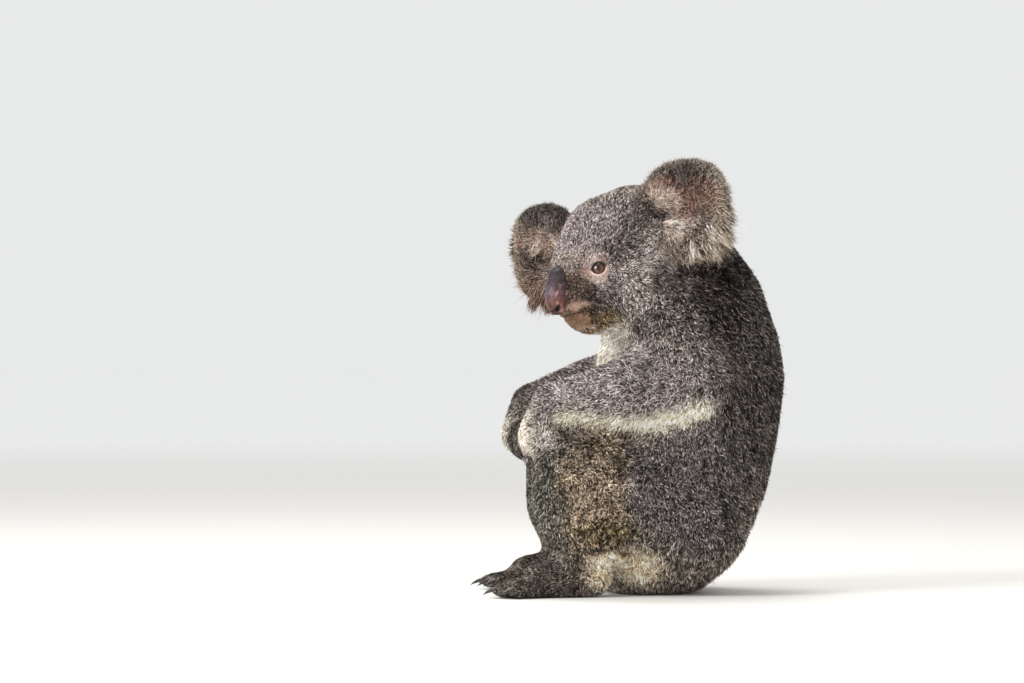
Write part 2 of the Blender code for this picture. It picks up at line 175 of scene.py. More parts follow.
# Some rows are painted light or shade, not fur colour.
# The back, nape and shin coats are partly the fur's own darker grey and partly painted shade.
# The near-black coats for the creases, the ear's hollow and the mouth's corner, and the dark coat low on the
# thigh, are painted shade.
# The pale-tipped coat round the ear's edge is a painted rim of back light.
COATS = read_rows("""
brow #7D7270 .18 .36 3.7 3.2 .7 .62 .08
side #59514D .18 .4 4.8 4.1 .78 .68 .14
cheek #938882 .25 .38 5.6 4.7 .83 .74 .2
crown #6F6661 .18 .38 4.6 3.9 .78 .62 .12
bridge #7E7169 .16 .28 2.8 1.7 .6 .45 .06
eye_ring #B5A19A .2 .16 2.4 1.25 .55 .4 .05
tear_corner #A58678 .12 .12 2 1 .45 .35 .05
tear #40362F .06 .34 3.6 2.2 .65 .5 .1
muzzle #483B32 .12 .3 2.6 1.5 .55 .45 .08
lip #B8998A .08 .06 1.6 .8 .4 .3 .04
chin #8E705B .1 .1 1.9 .9 .42 .3 .05
chin_edge #B09580 .1 .06 2.2 1.1 .45 .35 .05
mouth_corner #3F2F1F .1 .3 3 1.6 .55 .5 .1
jowl #6B583E .14 .36 5 3.6 .8 .6 .15
throat #F3E2CE .1 .04 7.5 5.5 .95 .55 .05
chest #FFE8D0 .1 .02 9 6.5 1 .5 .06
belly #A99C8B .15 .14 9 7 1.2 .55 .15
nape #292220 .12 .34 7 6.5 1.05 .6 .14
back #4A4441 .14 .36 7.5 7.5 1.08 .62 .16
flank #575150 .16 .36 6.5 6.5 .95 .65 .18
arm #746B66 .2 .38 6.2 5.5 .92 .7 .18
shoulder #59524E .18 .4 6.4 5.8 .95 .7 .18
forearm #8D827F .2 .36 6.2 5.5 .92 .7 .18
forearm_pale #AFA59A .2 .22 6.4 5.5 .92 .65 .15
cuff #CFC3A6 .12 .1 7.5 5.5 .9 .55 .12
fringe #F8E9CC .08 .02 9 6 .9 .5 .12
pale_hand #E2D0B9 .15 .06 4.4 2.6 .75 .45 .1
hand #57504A .2 .32 3.8 2.4 .72 .5 .1
wool #837362 .17 .3 4.8 5.5 .95 1.05 .55
rump #5C554E .2 .3 7 7 1.05 .75 .45
rump_mottle #978C80 .2 .24 6 6.5 1 .8 .42
thigh_low #514530 .2 .3 6 6 1 .85 .45
pale_rump #FCDBB2 .14 .03 5.5 6 1 .95 .24
crease #1C1613 .04 .34 3.5 2.2 .9 .8 .3
knee #A89C93 .16 .14 4.6 3.4 .8 .55 .1
shin #57544C .14 .34 4.6 3.8 .85 .6 .14
foot #564F48 .16 .32 3.8 2.4 .75 .5 .1
ear_dark #130C0B .06 .36 9 5 .66 1 .3
ear_halo #6E6459 .45 .2 9 5 .5 1.1 .2
ear_rim #1A1210 .08 .42 10 5.5 .66 1 .3
ear_edge #7A6E60 .42 .3 14 6 .62 1 .35
ear_grey #655A54 .2 .25 7 4 .62 .8 .2
ear_light #857268 .3 .12 8 4 .62 .8 .25
ear_strand #503C30 .3 .3 12 5 .6 .7 .35
ear_low #473933 .22 .3 11 5.5 .66 .95 .35
ear_brown #4F382E .22 .3 9 4.5 .54 1 .3
ear_red #65413A .14 .2 6 3 .7 .9 .2
ear_pink #7A5A4E .22 .2 7 3.5 .7 .7 .2
ear_pale #AC9789 .24 .12 8 4.5 .58 .75 .15
ear_soft #AE9D91 .14 .03 9 4.5 .6 .45 .1
ear_tuft #62544A .3 .28 12 5.5 .75 .75 .35
lock #A6988C .22 .16 16 5 .7 .35 .25
ear_hollow #17100E .02 .3 4.5 2.5 .75 .6 .1
ear_back #5A4E48 .2 .34 8 5.5 .9 .65 .15
""")
PALE, DARK, LENGTH, DEPTH, WIDTH, UNRULY, MOTTLE = range(3, 10)  # columns, after the three of the colour
coat_names = [row[0] for row in COATS]
coat_table = np.array([[*linear(row[1]), *row[2:]] for row in COATS])
coat_table[:, LENGTH : WIDTH + 1] *= MM
print(len(COATS), "kinds of coat")

# %% [markdown]
# ## Guides
# A groomer sets a coat with a few guides, each saying how the hair lies and what it looks like at
# one spot, and the rest is blended from the nearest ones. Each row gives the spot in millimetres,
# the way the hair points and the coat, in the axes of the head, of an ear or of the body. Every
# guide has a mirrored twin on the other side.

# %% Guides for the lie of the coat
HEAD_GUIDES = read_rows("""
0 -92 -28  0 .5 1  bridge
9 -86 -34  .4 .5 1  bridge
12 -92 -58  .3 1 .5  muzzle
14 -88 -72  .3 1 .2  muzzle
0 -80 -8  0 .6 1  brow
24 -68 -8  .3 .7 1  brow
0 -62 14  0 .9 .7  brow
34 -58 8  .4 .9 .6  brow
0 -36 34  0 1 .3  crown
36 -40 24  .4 1 .3  crown
0 2 44  0 1 -.1  crown
38 0 34  .3 1 0  crown
0 36 26  0 .8 -.6  nape
40 30 14  .3 .9 -.5  nape
44 -62 -30  .7 1 .1  side
54 -52 -22  .5 1 0  side
56 -40 -5  .4 1 .2  side
38 -66 -58  .7 1 -.2  brow
50 -50 -58  .5 1 -.4  cheek
56 -30 -60  .3 1 -.6  side
44 -48 -76  .3 .8 -.8  cheek
60 -16 -40  .3 1 -.4  cheek
62 -32 -30  .4 1 -.3  cheek
28 -62 -80  .3 .8 -.6  side
50 10 -60  .2 .9 -.7  side
0 -40 -100  0 1 -.2  throat
22 -36 -96  .2 1 -.5  side
""")
# The near-black coat in the ear's hollow is painted shade.
EAR_GUIDES = read_rows("""
0 -14 44  0 -.2 1  ear_rim
24 -14 36  .6 -.2 1  ear_rim
-24 -12 34  -.3 -.2 1  ear_rim
-34 -10 16  -.6 -.4 .6  ear_rim
38 -12 14  1 -.1 .2  ear_edge
42 -10 -10  .8 0 -.8  ear_edge
32 -10 -32  .5 0 -1  ear_edge
30 0 38  .7 .1 .9  ear_rim
4 -8 22  .2 -.2 1  ear_rim
20 -8 14  .9 -.2 .5  ear_brown
8 -7 8  .8 -.2 .6  ear_brown
18 -8 -6  1 -.2 -.1  ear_brown
-18 -12 22  .1 -.2 1  ear_rim
-6 -10 14  .5 -.2 .8  ear_brown
-20 -9 9  .5 -.2 .9  ear_pale
-24 -9 -3  .6 -.5 -.3  ear_hollow
-8 -7 -2  .9 -.3 -.1  ear_brown
-17 -7 -15  .7 -.5 -.8  ear_tuft
-4 -8 -24  .6 -.4 -.9  ear_tuft
16 -9 -26  .8 -.2 -.8  ear_low
-20 -8 -30  .2 -.4 -1  ear_tuft
8 -10 -40  .4 -.2 -1  ear_edge
12 -8 -16  .9 -.2 -.5  ear_low
0 14 20  .1 .1 1  ear_back
26 10 10  1 .1 .3  ear_back
20 12 -20  .8 .1 -.6  ear_back
-14 16 -10  .3 .6 0  ear_back
""")
# The back, nape and shin coats are partly the fur's own darker grey and partly painted shade.
BODY_GUIDES = read_rows("""
0 94 326  0 .6 -1  nape
46 62 308  .3 .5 -1  nape
56 92 270  .1 .2 -1  back
0 138 240  0 .05 -1  back
0 140 180  0 .05 -1  back
50 122 220  0 .05 -1  back
62 112 150  0 .05 -1  back
84 70 250  .1 .2 -1  back
94 70 190  0 .05 -1  back
96 60 140  0 .05 -1  flank
0 128 110  0 -.1 -1  back
0 110 60  0 -.3 -1  rump
66 96 80  0 -.1 -1  rump
0 76 14  0 -.6 -.5  rump
74 60 30  0 -.2 -1  rump
0 -62 150  0 0 -1  belly
0 -62 90  0 0 -1  belly
0 -50 30  0 0 -1  belly
38 -56 160  0 0 -1  belly
0 -50 212  0 -.2 -1  chest
38 -44 206  0 -.1 -1  belly
0 -30 258  0 -.5 -1  chest
70 4 292  .4 0 -1  shoulder
88 -18 262  .3 .1 -1  shoulder
98 16 262  .3 .2 -1  shoulder
106 4 232  .1 .3 -1  arm
104 36 226  .1 .2 -1  arm
112 40 196  0 -.2 -1  arm
70 -38 236  .2 -.2 -1  arm
108 0 210  0 -.9 -.5  forearm
100 -36 208  -.1 -1 -.3  forearm
86 -74 203  -.3 -1 -.25  forearm
80 -30 225  -.2 -1 0  forearm
60 -60 215  -.2 -1 0  forearm
50 -30 180  0 -1 -.3  belly
66 -100 198  -.3 -.9 -.4  forearm
42 -92 190  -.3 -.9 -.3  forearm
44 -116 182  -.5 -.7 -.6  hand
20 -122 162  -.9 -.3 -.5  hand
30 -108 140  -.8 0 -.6  hand
30 -90 150  -.9 .1 -.3  hand
84 -120 116  0 -.1 -1  shin
88 -116 84  0 .05 -1  shin
84 -108 52  0 -.1 -1  shin
56 -118 100  0 0 -1  shin
44 -100 84  0 .1 -1  shin
68 -108 138  0 -.6 -.8  shin
103 -86 116  0 .1 -1  wool
104 -66 96  0 .2 -1  wool
100 -82 66  0 .05 -1  wool
102 -50 72  0 .05 -1  wool
96 -60 44  0 .05 -1  wool
102 -52 128  0 .1 -1  wool
103 -18 128  0 .1 -1  flank
104 -18 90  0 .05 -1  flank
106 14 108  0 .05 -1  flank
104 30 74  0 .05 -1  flank
60 -64 152  0 -.8 -.4  flank
96 -20 40  0 -.1 -1  rump
90 20 26  0 -.1 -1  rump
36 -80 130  -.3 -.6 -.6  belly
68 -90 40  0 -1 -.4  foot
72 -124 30  0 -1 -.3  foot
92 -110 16  .2 -1 -.2  foot
48 -100 18  -.2 -1 -.2  foot
""")
print("guides:", len(HEAD_GUIDES), "on the head,", len(EAR_GUIDES), "an ear,", len(BODY_GUIDES), "the body")


# %% Bringing the guides into place
def in_axes(axes, points, turn_only=False):
    """Points or directions given in some axes, in the model's own."""
    matrix = np.array(axes)
    turned = np.asarray(points, float) @ matrix[:3, :3].T
    return turned if turn_only else turned + matrix[:3, 3]


def out_of_axes(axes, points):
    """The other way round: the model's points, seen from some axes."""
    return in_axes(axes.inverted(), points)


guide_place, guide_lie, guide_coat = [], [], []
for side, sign in SIDES.items():
    for axes, guides in ((head, HEAD_GUIDES), (ears[side], EAR_GUIDES), (body, BODY_GUIDES)):
        mirror = (sign, 1, 1)
        guide_place.append(in_axes(axes, [np.multiply(row[:3], mirror) * MM for row in guides]))
        guide_lie.append(in_axes(axes, [np.multiply(row[3:6], mirror) for row in guides], True))
        guide_coat += [coat_names.index(row[6]) for row in guides]
guide_place, guide_lie = np.concatenate(guide_place), np.concatenate(guide_lie)
guide_lie /= np.linalg.norm(guide_lie, axis=1)[:, None]
guide_coat = np.array(guide_coat)
print(len(guide_place), "guides")

# %% [markdown]
# ## The skin
# Under the coat is one unbroken skin. Copies of the flesh solids are swollen by a hair so that the
# cuts between them close, melted into one surface by a voxel remesh and smoothed: much on the
# trunk, whose facets are large, and little on the face, ears, hands and feet. A plug fills the
# muzzle's hollow behind the nose, so that fur can close round a nose pad slimmer than its solid.

# %% The flesh solids, by family
FAMILIES = {
    "head": ("head", "jaw"),
    "trunk": ("neck", "chest", "belly", "rump"),
    **{f"ear_{side}": (f"ear_{side}",) for side in SIDES},
    **{
        f"{limb}_{side}": tuple(f"{part}_{side}" for part in parts)
        for limb, parts in (("arm", ("upper_arm", "forearm", "hand")), ("leg", ("thigh", "shin", "foot")))
        for side in SIDES
    },
}
FLESH = [node for nodes in FAMILIES.values() for node in nodes]
family_names = list(FAMILIES)
family_of_node = np.array([i for i, nodes in enumerate(FAMILIES.values()) for _ in nodes])
print(len(FLESH), "flesh solids in", len(FAMILIES), "families")


# %% Mesh helpers
def link_mesh(name, mesh):
    """A new object that holds a bmesh, which is freed."""
    data = bpy.data.meshes.new(name)
    mesh.to_mesh(data)
    mesh.free()
    thing = bpy.data.objects.new(name, data)
    bpy.context.scene.collection.objects.link(thing)
    return thing


def merged_copy(node):
    """A bmesh copy of a solid, with its loose triangles joined."""
    mesh = bmesh.new()
    mesh.from_mesh(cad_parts[node].data)
    bmesh.ops.remove_doubles(mesh, verts=mesh.verts, dist=0.001 * MM)
    mesh.normal_update()
    return mesh


def pour(mesh, into):
    """Adds one bmesh to another, and frees it."""
    data = bpy.data.meshes.new("copy")
    mesh.to_mesh(data)
    mesh.free()
    into.from_mesh(data)
    bpy.data.meshes.remove(data)


def apply_modifiers(thing):
    graph = bpy.context.evaluated_depsgraph_get()
    data = bpy.data.meshes.new_from_object(thing.evaluated_get(graph))
    thing.modifiers.clear()
    thing.data = data


def voxel_remesh(thing, size):
    remesh = thing.modifiers.new("melt", "REMESH")
    remesh.mode = "VOXEL"
    remesh.voxel_size = size
    bpy.context.view_layer.update()
    apply_modifiers(thing)


print("the head's solid has", len(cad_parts["head"].data.polygons), "faces")

# %% Pouring and melting
SWELL = 0.3 * MM
SKIN_VOXEL = 2.5 * MM
PLUG_WIDTH, PLUG_DEPTH, PLUG_BACK = 0.95, 0.7, 28 * MM
flesh = bmesh.new()
corners, triangles, triangle_node = [], [], []
for index, node in enumerate(FLESH):
    piece = merged_copy(node)
    for vert in piece.verts:
        vert.co += vert.normal * SWELL
    start = len(corners)
    corners += [vert.co.copy() for vert in piece.verts]
    triangles += [[start + vert.index for vert in face.verts] for face in piece.faces]
    triangle_node += [index] * len(piece.faces)
    pour(piece, flesh)
flesh_tree = BVHTree.FromPolygons(corners, triangles)
plug = merged_copy("nose")
for vert in plug.verts:
    place = head.inverted() @ vert.co
    vert.co = head @ Vector((place.x * PLUG_WIDTH, place.y * PLUG_DEPTH - PLUG_BACK, place.z))
pour(plug, flesh)
skin = link_mesh("skin", flesh)
voxel_remesh(skin, SKIN_VOXEL)


def nearest_node(points):
    """The flesh solid that each point is nearest to, as its place in FLESH."""
    return np.array([triangle_node[flesh_tree.find_nearest(Vector(point))[2]] for point in points])


print("skin after the remesh:", len(skin.data.polygons), "faces")

# %% [markdown]
# The face shows the most, so its part of the skin gets a finer mesh before anything is shaped.

# %% Reading meshes, and a finer one on the face
FACE_LOW, FACE_HIGH = np.array((-42, -130, -106)) * MM, np.array((42, -54, -22)) * MM


def read(items, field, width=1, kind=np.int32):
    """One field of many points, edges, faces or corners, as an array."""
    values = np.empty(len(items) * width, kind)
    items.foreach_get(field, values)
    return values.reshape(-1, width) if width > 1 else values


def places_of(thing):
    return read(thing.data.vertices, "co", 3, np.float32).astype(float)


def normals_of(thing):
    return read(thing.data.vertex_normals, "vector", 3, np.float32).astype(float)


def in_box(points, low, high):
    return ((points > low) & (points < high)).all(axis=1)


mesh = bmesh.new()
mesh.from_mesh(skin.data)
inside = in_box(out_of_axes(head, places_of(skin)), FACE_LOW, FACE_HIGH)
face_edges = [e for e in mesh.edges if inside[e.verts[0].index] and inside[e.verts[1].index]]
bmesh.ops.subdivide_edges(mesh, edges=face_edges, cuts=1, use_grid_fill=True, smooth=0)
bmesh.ops.triangulate(mesh, faces=[f for f in mesh.faces if len(f.verts) > 4])
mesh.to_mesh(skin.data)
mesh.free()
print("skin with the finer face:", len(skin.data.polygons), "faces,", len(skin.data.vertices), "points")

# %% [markdown]
# Smoothing moves each point towards the mean of its neighbours. How far depends on the part: the
# trunk can bear much of it, the face, ears and digits only a little.

# %% Smoothing
points = places_of(skin)
edges = read(skin.data.edges, "vertices", 2)
neighbours = np.maximum(np.bincount(edges.ravel(), minlength=len(points)), 1)


def relax(values, share, rounds):
    """Moves each row of values towards the mean of its neighbours' rows, again and again."""
    values = np.array(values, float)
    share = np.broadcast_to(np.asarray(share, float).reshape(-1, 1), (len(values), 1))
    for _ in range(rounds):
        mean = np.stack(
            [
                np.bincount(edges[:, 0], column[edges[:, 1]], len(values))
                + np.bincount(edges[:, 1], column[edges[:, 0]], len(values))
                for column in values.T
            ],
            axis=1,
        )
        values += share * (mean / neighbours[:, None] - values)
    return values


SOFTNESS = {"head": 0.16, "jaw": 0.10, "ear": 0.14, "hand": 0.06, "foot": 0.06, "forearm": 0.30}
node_of = nearest_node(points)
softness = np.array([SOFTNESS.get(node.rsplit("_", 1)[0] if "_" in node else node, 0.5) for node in FLESH])
points = relax(points, relax(softness[node_of][:, None], 0.5, 10)[:, 0], 40)
print("families by points:", dict(zip(family_names, np.bincount(family_of_node[node_of]))))

# %% [markdown]
# ## Blending the guides over the skin
# Each point of the skin takes a mix of the nearest guides, weighted by a high power of nearness so
# that the spots stay themselves, with a little noise so that no border is a clean line. A guide on
# an arm says little to the chest behind it, so guides of another limb count as farther away.

# %% Blending the guides
OTHER_LIMB = 16 * MM
NEARNESS_POWER = 3.0
SOFTENING = 5 * MM


def wavy_noise(places, size, seed):
    """Smooth noise from -1 to 1: a sum of waves with directions and phases of their own."""
    own = np.random.default_rng(seed)
    total = np.zeros(len(places))
    for _ in range(7):
        wave = own.normal(size=3)
        wave /= np.linalg.norm(wave)
        pitch = size * own.uniform(0.7, 1.5)
        total += np.sin(places @ wave * math.tau / pitch + own.uniform(0, math.tau))
    return total / 3.2


def jittered(places, size, amount, seed):
    return places + amount * np.stack([wavy_noise(places, size, seed + i) for i in range(3)], axis=1)


family_of = family_of_node[node_of]
guide_family = family_of_node[nearest_node(guide_place)]
asked = jittered(points, 12 * MM, 2.2 * MM, 3)
coat_chart = np.zeros((len(points), coat_table.shape[1]))
lie = np.zeros((len(points), 3))
for start in range(0, len(points), 20000):
    part = slice(start, start + 20000)
    away = ((asked[part, None, :] - guide_place[None]) ** 2).sum(axis=2) + SOFTENING**2
    away += OTHER_LIMB**2 * (family_of[part, None] != guide_family[None])
    weight = away**-NEARNESS_POWER
    weight /= weight.sum(axis=1, keepdims=True)
    coat_chart[part] = weight @ coat_table[guide_coat]
    lie[part] = weight @ guide_lie
print("blended", coat_chart.shape)

# %% [markdown]
# Smaller markings are laid over the blend as soft-edged blobs: the pale ring round the eye, the
# dark line below it, the lips and chin, the white of the chest, and the cream fringe under the
# forearm. Others are painted light or shade: the near-black in the creases of thigh and knee, in the
# ear's hollows and at the mouth's corners, and the dark patch low on the thigh are painted shade, the
# darkest grey behind the shoulder is partly painted shade, and a ring of pale-tipped coat round the
# near ear's edge is a painted rim of back light. Each row gives the axes, the middle and the three
# radii in millimetres, the coat and how strongly it covers. Markings off the middle of head or body
# are mirrored, those of an ear are not.

# %% Markings
def fade_in(value, start, span):
    """0 up to start, then rising to 1 over the span, or falling to start where the span is negative."""
    return np.clip((value - start) / span, 0, 1)


def along_line(places, radii, *look, raised=0):
    """Rows for a line of blobs, one at each place, in the body's axes."""
    return [["body", x, y, z + raised, *radii, *look] for x, y, z in places]


FRINGE_LINE = ((112, 30, 177), (105, 8, 169), (98, -16, 163), (93, -40, 163), (87, -64, 166), (79, -88, 168))
THIGH_CREASE = ((94, -46, 150), (97, -45, 142), (99, -45, 133), (101, -44, 124), (102, -43, 115))
KNEE_CREASE = ((92, -70, 45), (97, -58, 46), (95, -44, 44), (90, -34, 41))
# A ring of pale-tipped coat round the near ear's edge: a painted rim of back light.
EAR_BACKLIGHT_RING = [(47 * math.cos(turn), -8, 47 * math.sin(turn)) for turn in np.radians(range(15, 160, 12))]
MARKINGS = [
    *read_rows("""
head 24.8 -68.4 -43.8  13 13 13  eye_ring .85
head 17.8 -79.2 -47.2  4.5 6 5  tear_corner .85
head 19.5 -80 -67  5 8 12  tear .8
head 9 -90 -76.4  13 17 2.6  lip .95
head 0 -87 -92  19 18 12.5  chin .95
head 6 -80 -101  17 14 6  chin_edge .8
head 17 -80 -80.5  9 7 3.2  mouth_corner .9
head 15.5 -76 -90  3.5 8 9  mouth_corner .75
head 22 -62 -91  12 13 12  jowl .9
head 0 -60 -101  16 14 9  jowl .7
head 0 -46 -104  26 16 14  throat .6
body 6 -46 238  34 26 34  chest .9
body 52 -122 158  25 20 27  forearm_pale .3
body 50 -124 155  21 16 23  forearm_pale .5
body 50 -124 152  14 13 16  pale_hand .85
body 0 100 30  78 60 34  rump_mottle .7
body 82 -40 27  46 38 30  rump_mottle .7
body 84 -37 27  32 33 19  pale_rump .9
body 74 56 284  28 30 44  nape .85
body 88 -56 154  16 36 10  wool .85
body 78 -108 152  14 14 11  knee .8
body 103 -33 112  8 5 24  forearm .5
body 100 -62 62  12 32 16  thigh_low .95
head 62 -30 1  7 8 4.5  ear_hollow .6
head 62 2 -44  10 12 9  nape .75
"""),
    *[["ear_left", *place, 7, 14, 7, "ear_halo", 0.8] for place in EAR_BACKLIGHT_RING],
    *read_rows("""
ear_left -21 -14 20  12 12 6  ear_pink .9
ear_left 0 -6 6  6 12 14  ear_red .85
ear_left -37 -12 5  6 12 13  ear_dark .7
ear_left -20.5 -11 10.5  12 12 7.5  ear_pale .95
ear_left -11 -7 -14  14 12 6.5  ear_soft .95
ear_left -25 -10 -4  9 12 4.5  ear_hollow 1
ear_left -13 -6 -4  8 12 3  ear_hollow .7
ear_left -6.5 -9 -31  4.5 12 9  ear_hollow 1
ear_left 7 -10 -26  4.5 12 8  ear_hollow .9
ear_right 14 -12 40  22 16 13  ear_dark .95
ear_right 8 -14 24  10 14 8  ear_grey .9
ear_right -6 -9 12  13 13 8  ear_light .95
ear_right -10 -8 -5  18 14 10  ear_hollow .85
ear_right -8 -10 -34  24 16 18  ear_strand .9
ear_right -36 -12 14  9 14 20  ear_edge .8
"""),
    # Painted shade: a near-black coat along the creases of the thigh and knee, over the grooves the skin
    # sinks into.
    *along_line(THIGH_CREASE, (8, 3.4, 8), "crease", 1.0),
    *along_line(KNEE_CREASE, (8, 8, 3), "crease", 1.0),
    *along_line(FRINGE_LINE[:-1], (11, 18, 8), "forearm_pale", 0.6, raised=7),
    *along_line(FRINGE_LINE[:-2], (11, 17, 7.8), "fringe", 1.0),
    *along_line(FRINGE_LINE[-2:], (11, 17, 6.5), "cuff", 0.9),
]
asked = jittered(points, 8 * MM, 1.2 * MM, 11)
for axes, *numbers, coat, strength in MARKINGS:
    place, radii = np.array(numbers[:3]), np.array(numbers[3:])
    for sign in (1, -1) if place[0] and axes in ("head", "body") else (1,):
        local = out_of_axes(AXES[axes], asked) - place * (sign, 1, 1) * MM
        reach = np.sqrt(((local / (radii * MM)) ** 2).sum(axis=1))
        share = strength * fade_in(reach, 1.25, -0.5)[:, None]
        coat_chart = coat_chart * (1 - share) + coat_table[coat_names.index(coat)] * share
coat_chart = relax(coat_chart, 0.5, 4)
lie = relax(lie, 0.5, 12)
print("markings:", len(MARKINGS))

# %% [markdown]
# ## Setting the skin under the coat
# The solids reach to the tips of the fur, so the skin sinks by the coat's depth, along smoothed
# normals that don't cross in creases. The lie of the coat is laid flat on the skin, and the skin's
# bend along it is measured, so that long tufts can follow the curve instead of shooting off it.

# %% Sinking the skin
def set_points(thing, places):
    thing.data.vertices.foreach_set("co", np.asarray(places, np.float32).ravel())
    thing.data.update()


def woolliness(chart):
    """0 on a sleek coat, 1 on one that stands in curly lumps."""
    return fade_in(chart[:, MOTTLE], 0.22, 0.3)


def unit(vectors):
    return vectors / np.maximum(np.linalg.norm(vectors, axis=1), 1e-9)[:, None]


LUMP_SIZE = 7 * MM
LUMP_HEIGHT = 3.2 * MM
TRIMS = [  # axes, place, radii, and how much deeper the skin lies there
    *read_rows("""
head 4 -34 38  46 42 24  1
head 32 -66 -6  22 24 26  4
head -32 -66 -6  22 24 26  4
head 0 -86 -98  20 14 10  3.5
body 40 110 270  70 60 80  2.5
"""),
    *along_line(THIGH_CREASE, (7, 3.6, 8), 8.0),
    *along_line(KNEE_CREASE, (7, 8, 3), 6.5),
    *read_rows("""
head 28 -50 15  22 20 17  2
head -28 -50 15  22 20 17  2
head 54 -50 -28  14 18 18  1.5
head -54 -50 -28  14 18 18  1.5
ear_left -25 -8 -4  8 14 4.5  5
ear_left -6.5 -9 -31  5 14 8  4
ear_left 6 -8 46  26 16 14  3.2
ear_left 44 -6 2  14 16 26  3.8
ear_right -26 -4 30  18 18 18  -4.5
body 100 -60 84  20 22 26  -1.6
body 96 -62 130  18 16 18  -1.2
"""),
]
set_points(skin, points)
outward = unit(relax(normals_of(skin), 0.5, 6))
lumps = wavy_noise(points, LUMP_SIZE, 71) + 0.6 * wavy_noise(points, 0.55 * LUMP_SIZE, 72)
lumpy = woolliness(coat_chart)
relief = LUMP_HEIGHT * lumpy * (lumps - 0.6) * 0.7
points = points - outward * (coat_chart[:, DEPTH] * 0.95 - relief)[:, None]
# Painted light and shade on woolly coats: the skin is lighter where its lumps rise and darker where they
# sink.
coat_chart[:, :3] *= np.exp(0.45 * lumpy * lumps)[:, None]
for axes, *numbers, deeper in TRIMS:
    place, radii = np.array(numbers[:3]) * MM, np.array(numbers[3:]) * MM
    local = (out_of_axes(AXES[axes], points) - place) / radii
    points = points - outward * (deeper * MM * np.exp(-((local**2).sum(axis=1)) * 1.2))[:, None]
points = relax(points, 0.25, 3)
depths = coat_chart[:, DEPTH] / MM
print("coat depth in mm:", depths.min().round(1), "to", depths.max().round(1))

# %% [markdown]
# ## Mouth and eye sockets
# The mouth is a fine groove with a soft lip on each side. Round each eye the skin dips behind the
# eyeball, and the lids, a piece of their own, cover the edge of the dip.

# %% Directions of an eye
EYE_AXIS = unit(np.array([[0.66, -0.75, 0.02]]))[0]
EYE_ACROSS = unit(np.array([[0.75, 0.66, 0.12]]))[0]
EYE_UP = np.cross(EYE_AXIS, EYE_ACROSS)
EYE_UP *= np.sign(EYE_UP[2])
EYE_RADIUS = 8.5 * MM
print("eye radius:", EYE_RADIUS / MM, "mm")


# %% Mouth
def ridge(distance, width):
    return np.exp(-((distance / width) ** 2))


def mouth_line(local):
    """How far points in the head's axes are above the line of the mouth."""
    rise = fade_in(local[:, 1] / MM, -92, 14) ** 2
    return local[:, 2] - (-82.0 + 1.8 * rise) * MM


set_points(skin, points)
outward = normals_of(skin)
local = out_of_axes(head, points)
above = mouth_line(local)
at_mouth = fade_in(local[:, 1], -73 * MM, -4 * MM) * (np.abs(local[:, 0]) < 32 * MM)
lips = -2.1 * ridge(above, 1.2 * MM)
lips = lips + 0.5 * ridge(above - 2.8 * MM, 1.7 * MM) + 0.4 * ridge(above + 2.6 * MM, 1.7 * MM)
points = points + outward * (at_mouth * lips * MM)[:, None]
print("mouth groove:", round(-lips.min(), 1), "mm")

# %% Eye sockets, and the skin's bend
local = out_of_axes(head, points)
eye_nearness = np.full(len(points), 1.0)
for side, sign in SIDES.items():
    flip = np.array((sign, 1, 1))
    from_eye = (local - out_of_axes(head, [middle_of("eye_" + side)])) * flip
    along = from_eye @ EYE_AXIS
    across = np.linalg.norm(from_eye - along[:, None] * EYE_AXIS, axis=1)
    highest = (-1.5 + 5.5 * fade_in(across / MM, 8, 3.5)) * MM
    dip = np.where((across < 11.5 * MM) & (along > -4 * MM), np.maximum(along - highest, 0), 0)
    local = local - dip[:, None] * EYE_AXIS * flip
    in_front = along > -6 * MM
    eye_nearness = np.where(in_front, np.minimum(eye_nearness, across), eye_nearness)
points = in_axes(head, local)
set_points(skin, points)
outward = unit(relax(normals_of(skin), 0.5, 2))
lie = unit(lie - (lie * outward).sum(axis=1, keepdims=True) * outward)

step = points[edges[:, 1]] - points[edges[:, 0]]
turn = outward[edges[:, 1]] - outward[edges[:, 0]]
bend_top, bend_low = np.zeros(len(points)), np.full(len(points), 1e-9)
for end in (0, 1):
    run = (step * lie[edges[:, end]]).sum(axis=1)
    bend_top += np.bincount(edges[:, end], run * (turn * lie[edges[:, end]]).sum(axis=1), len(points))
    bend_low += np.bincount(edges[:, end], run**2, len(points))
bend = np.clip(relax((bend_top / bend_low)[:, None], 0.5, 10)[:, 0], -12, 45)
print("skin bend per metre:", bend.min().round(), "to", bend.max().round())

# %% [markdown]
# ## The skin's own finish
# Where the coat is long only the dark down at its base could show between tufts, so the skin there
# is the coat's colour, darker. On the lips and chin the skin itself shows, brownish pink. A fine
# bump stands for the shortest hairs, and a high roughness keeps the down from shining.

# %% Skin colours and material
def paint(thing, colours, grain=1.0):
    """Stores one colour per point, and in its alpha how much salt-and-pepper grain it bears."""
    layer = thing.data.color_attributes.new("coat", "FLOAT_COLOR", "POINT")
    rgba = np.ones((len(colours), 4), np.float32)
    rgba[:, :3] = np.clip(colours, 0, 1)
    rgba[:, 3] = grain * (1 - 0.7 * fade_in(rgba[:, :3].mean(axis=1), 0.25, 0.35))
    layer.data.foreach_set("color", rgba.ravel())
    thing.data.color_attributes.active_color = layer


SKIN_SHADE, FAIR_SHADE, GROOVE_SHADE = 0.5, 0.35, 0.88  # under fur, less where fair, in the mouth
furry = fade_in(coat_chart[:, [DEPTH]] / MM, 1.0, 2.0)
fair = fade_in(coat_chart[:, :3].mean(axis=1, keepdims=True), 0.5, 0.25)
skin_colour = coat_chart[:, :3] * (1.0 - (SKIN_SHADE - FAIR_SHADE * fair) * furry)
groove = at_mouth * ridge(above, 1.1 * MM)
skin_colour = skin_colour * (1 - GROOVE_SHADE * groove[:, None])
paint(skin, skin_colour)
print("skin painted")


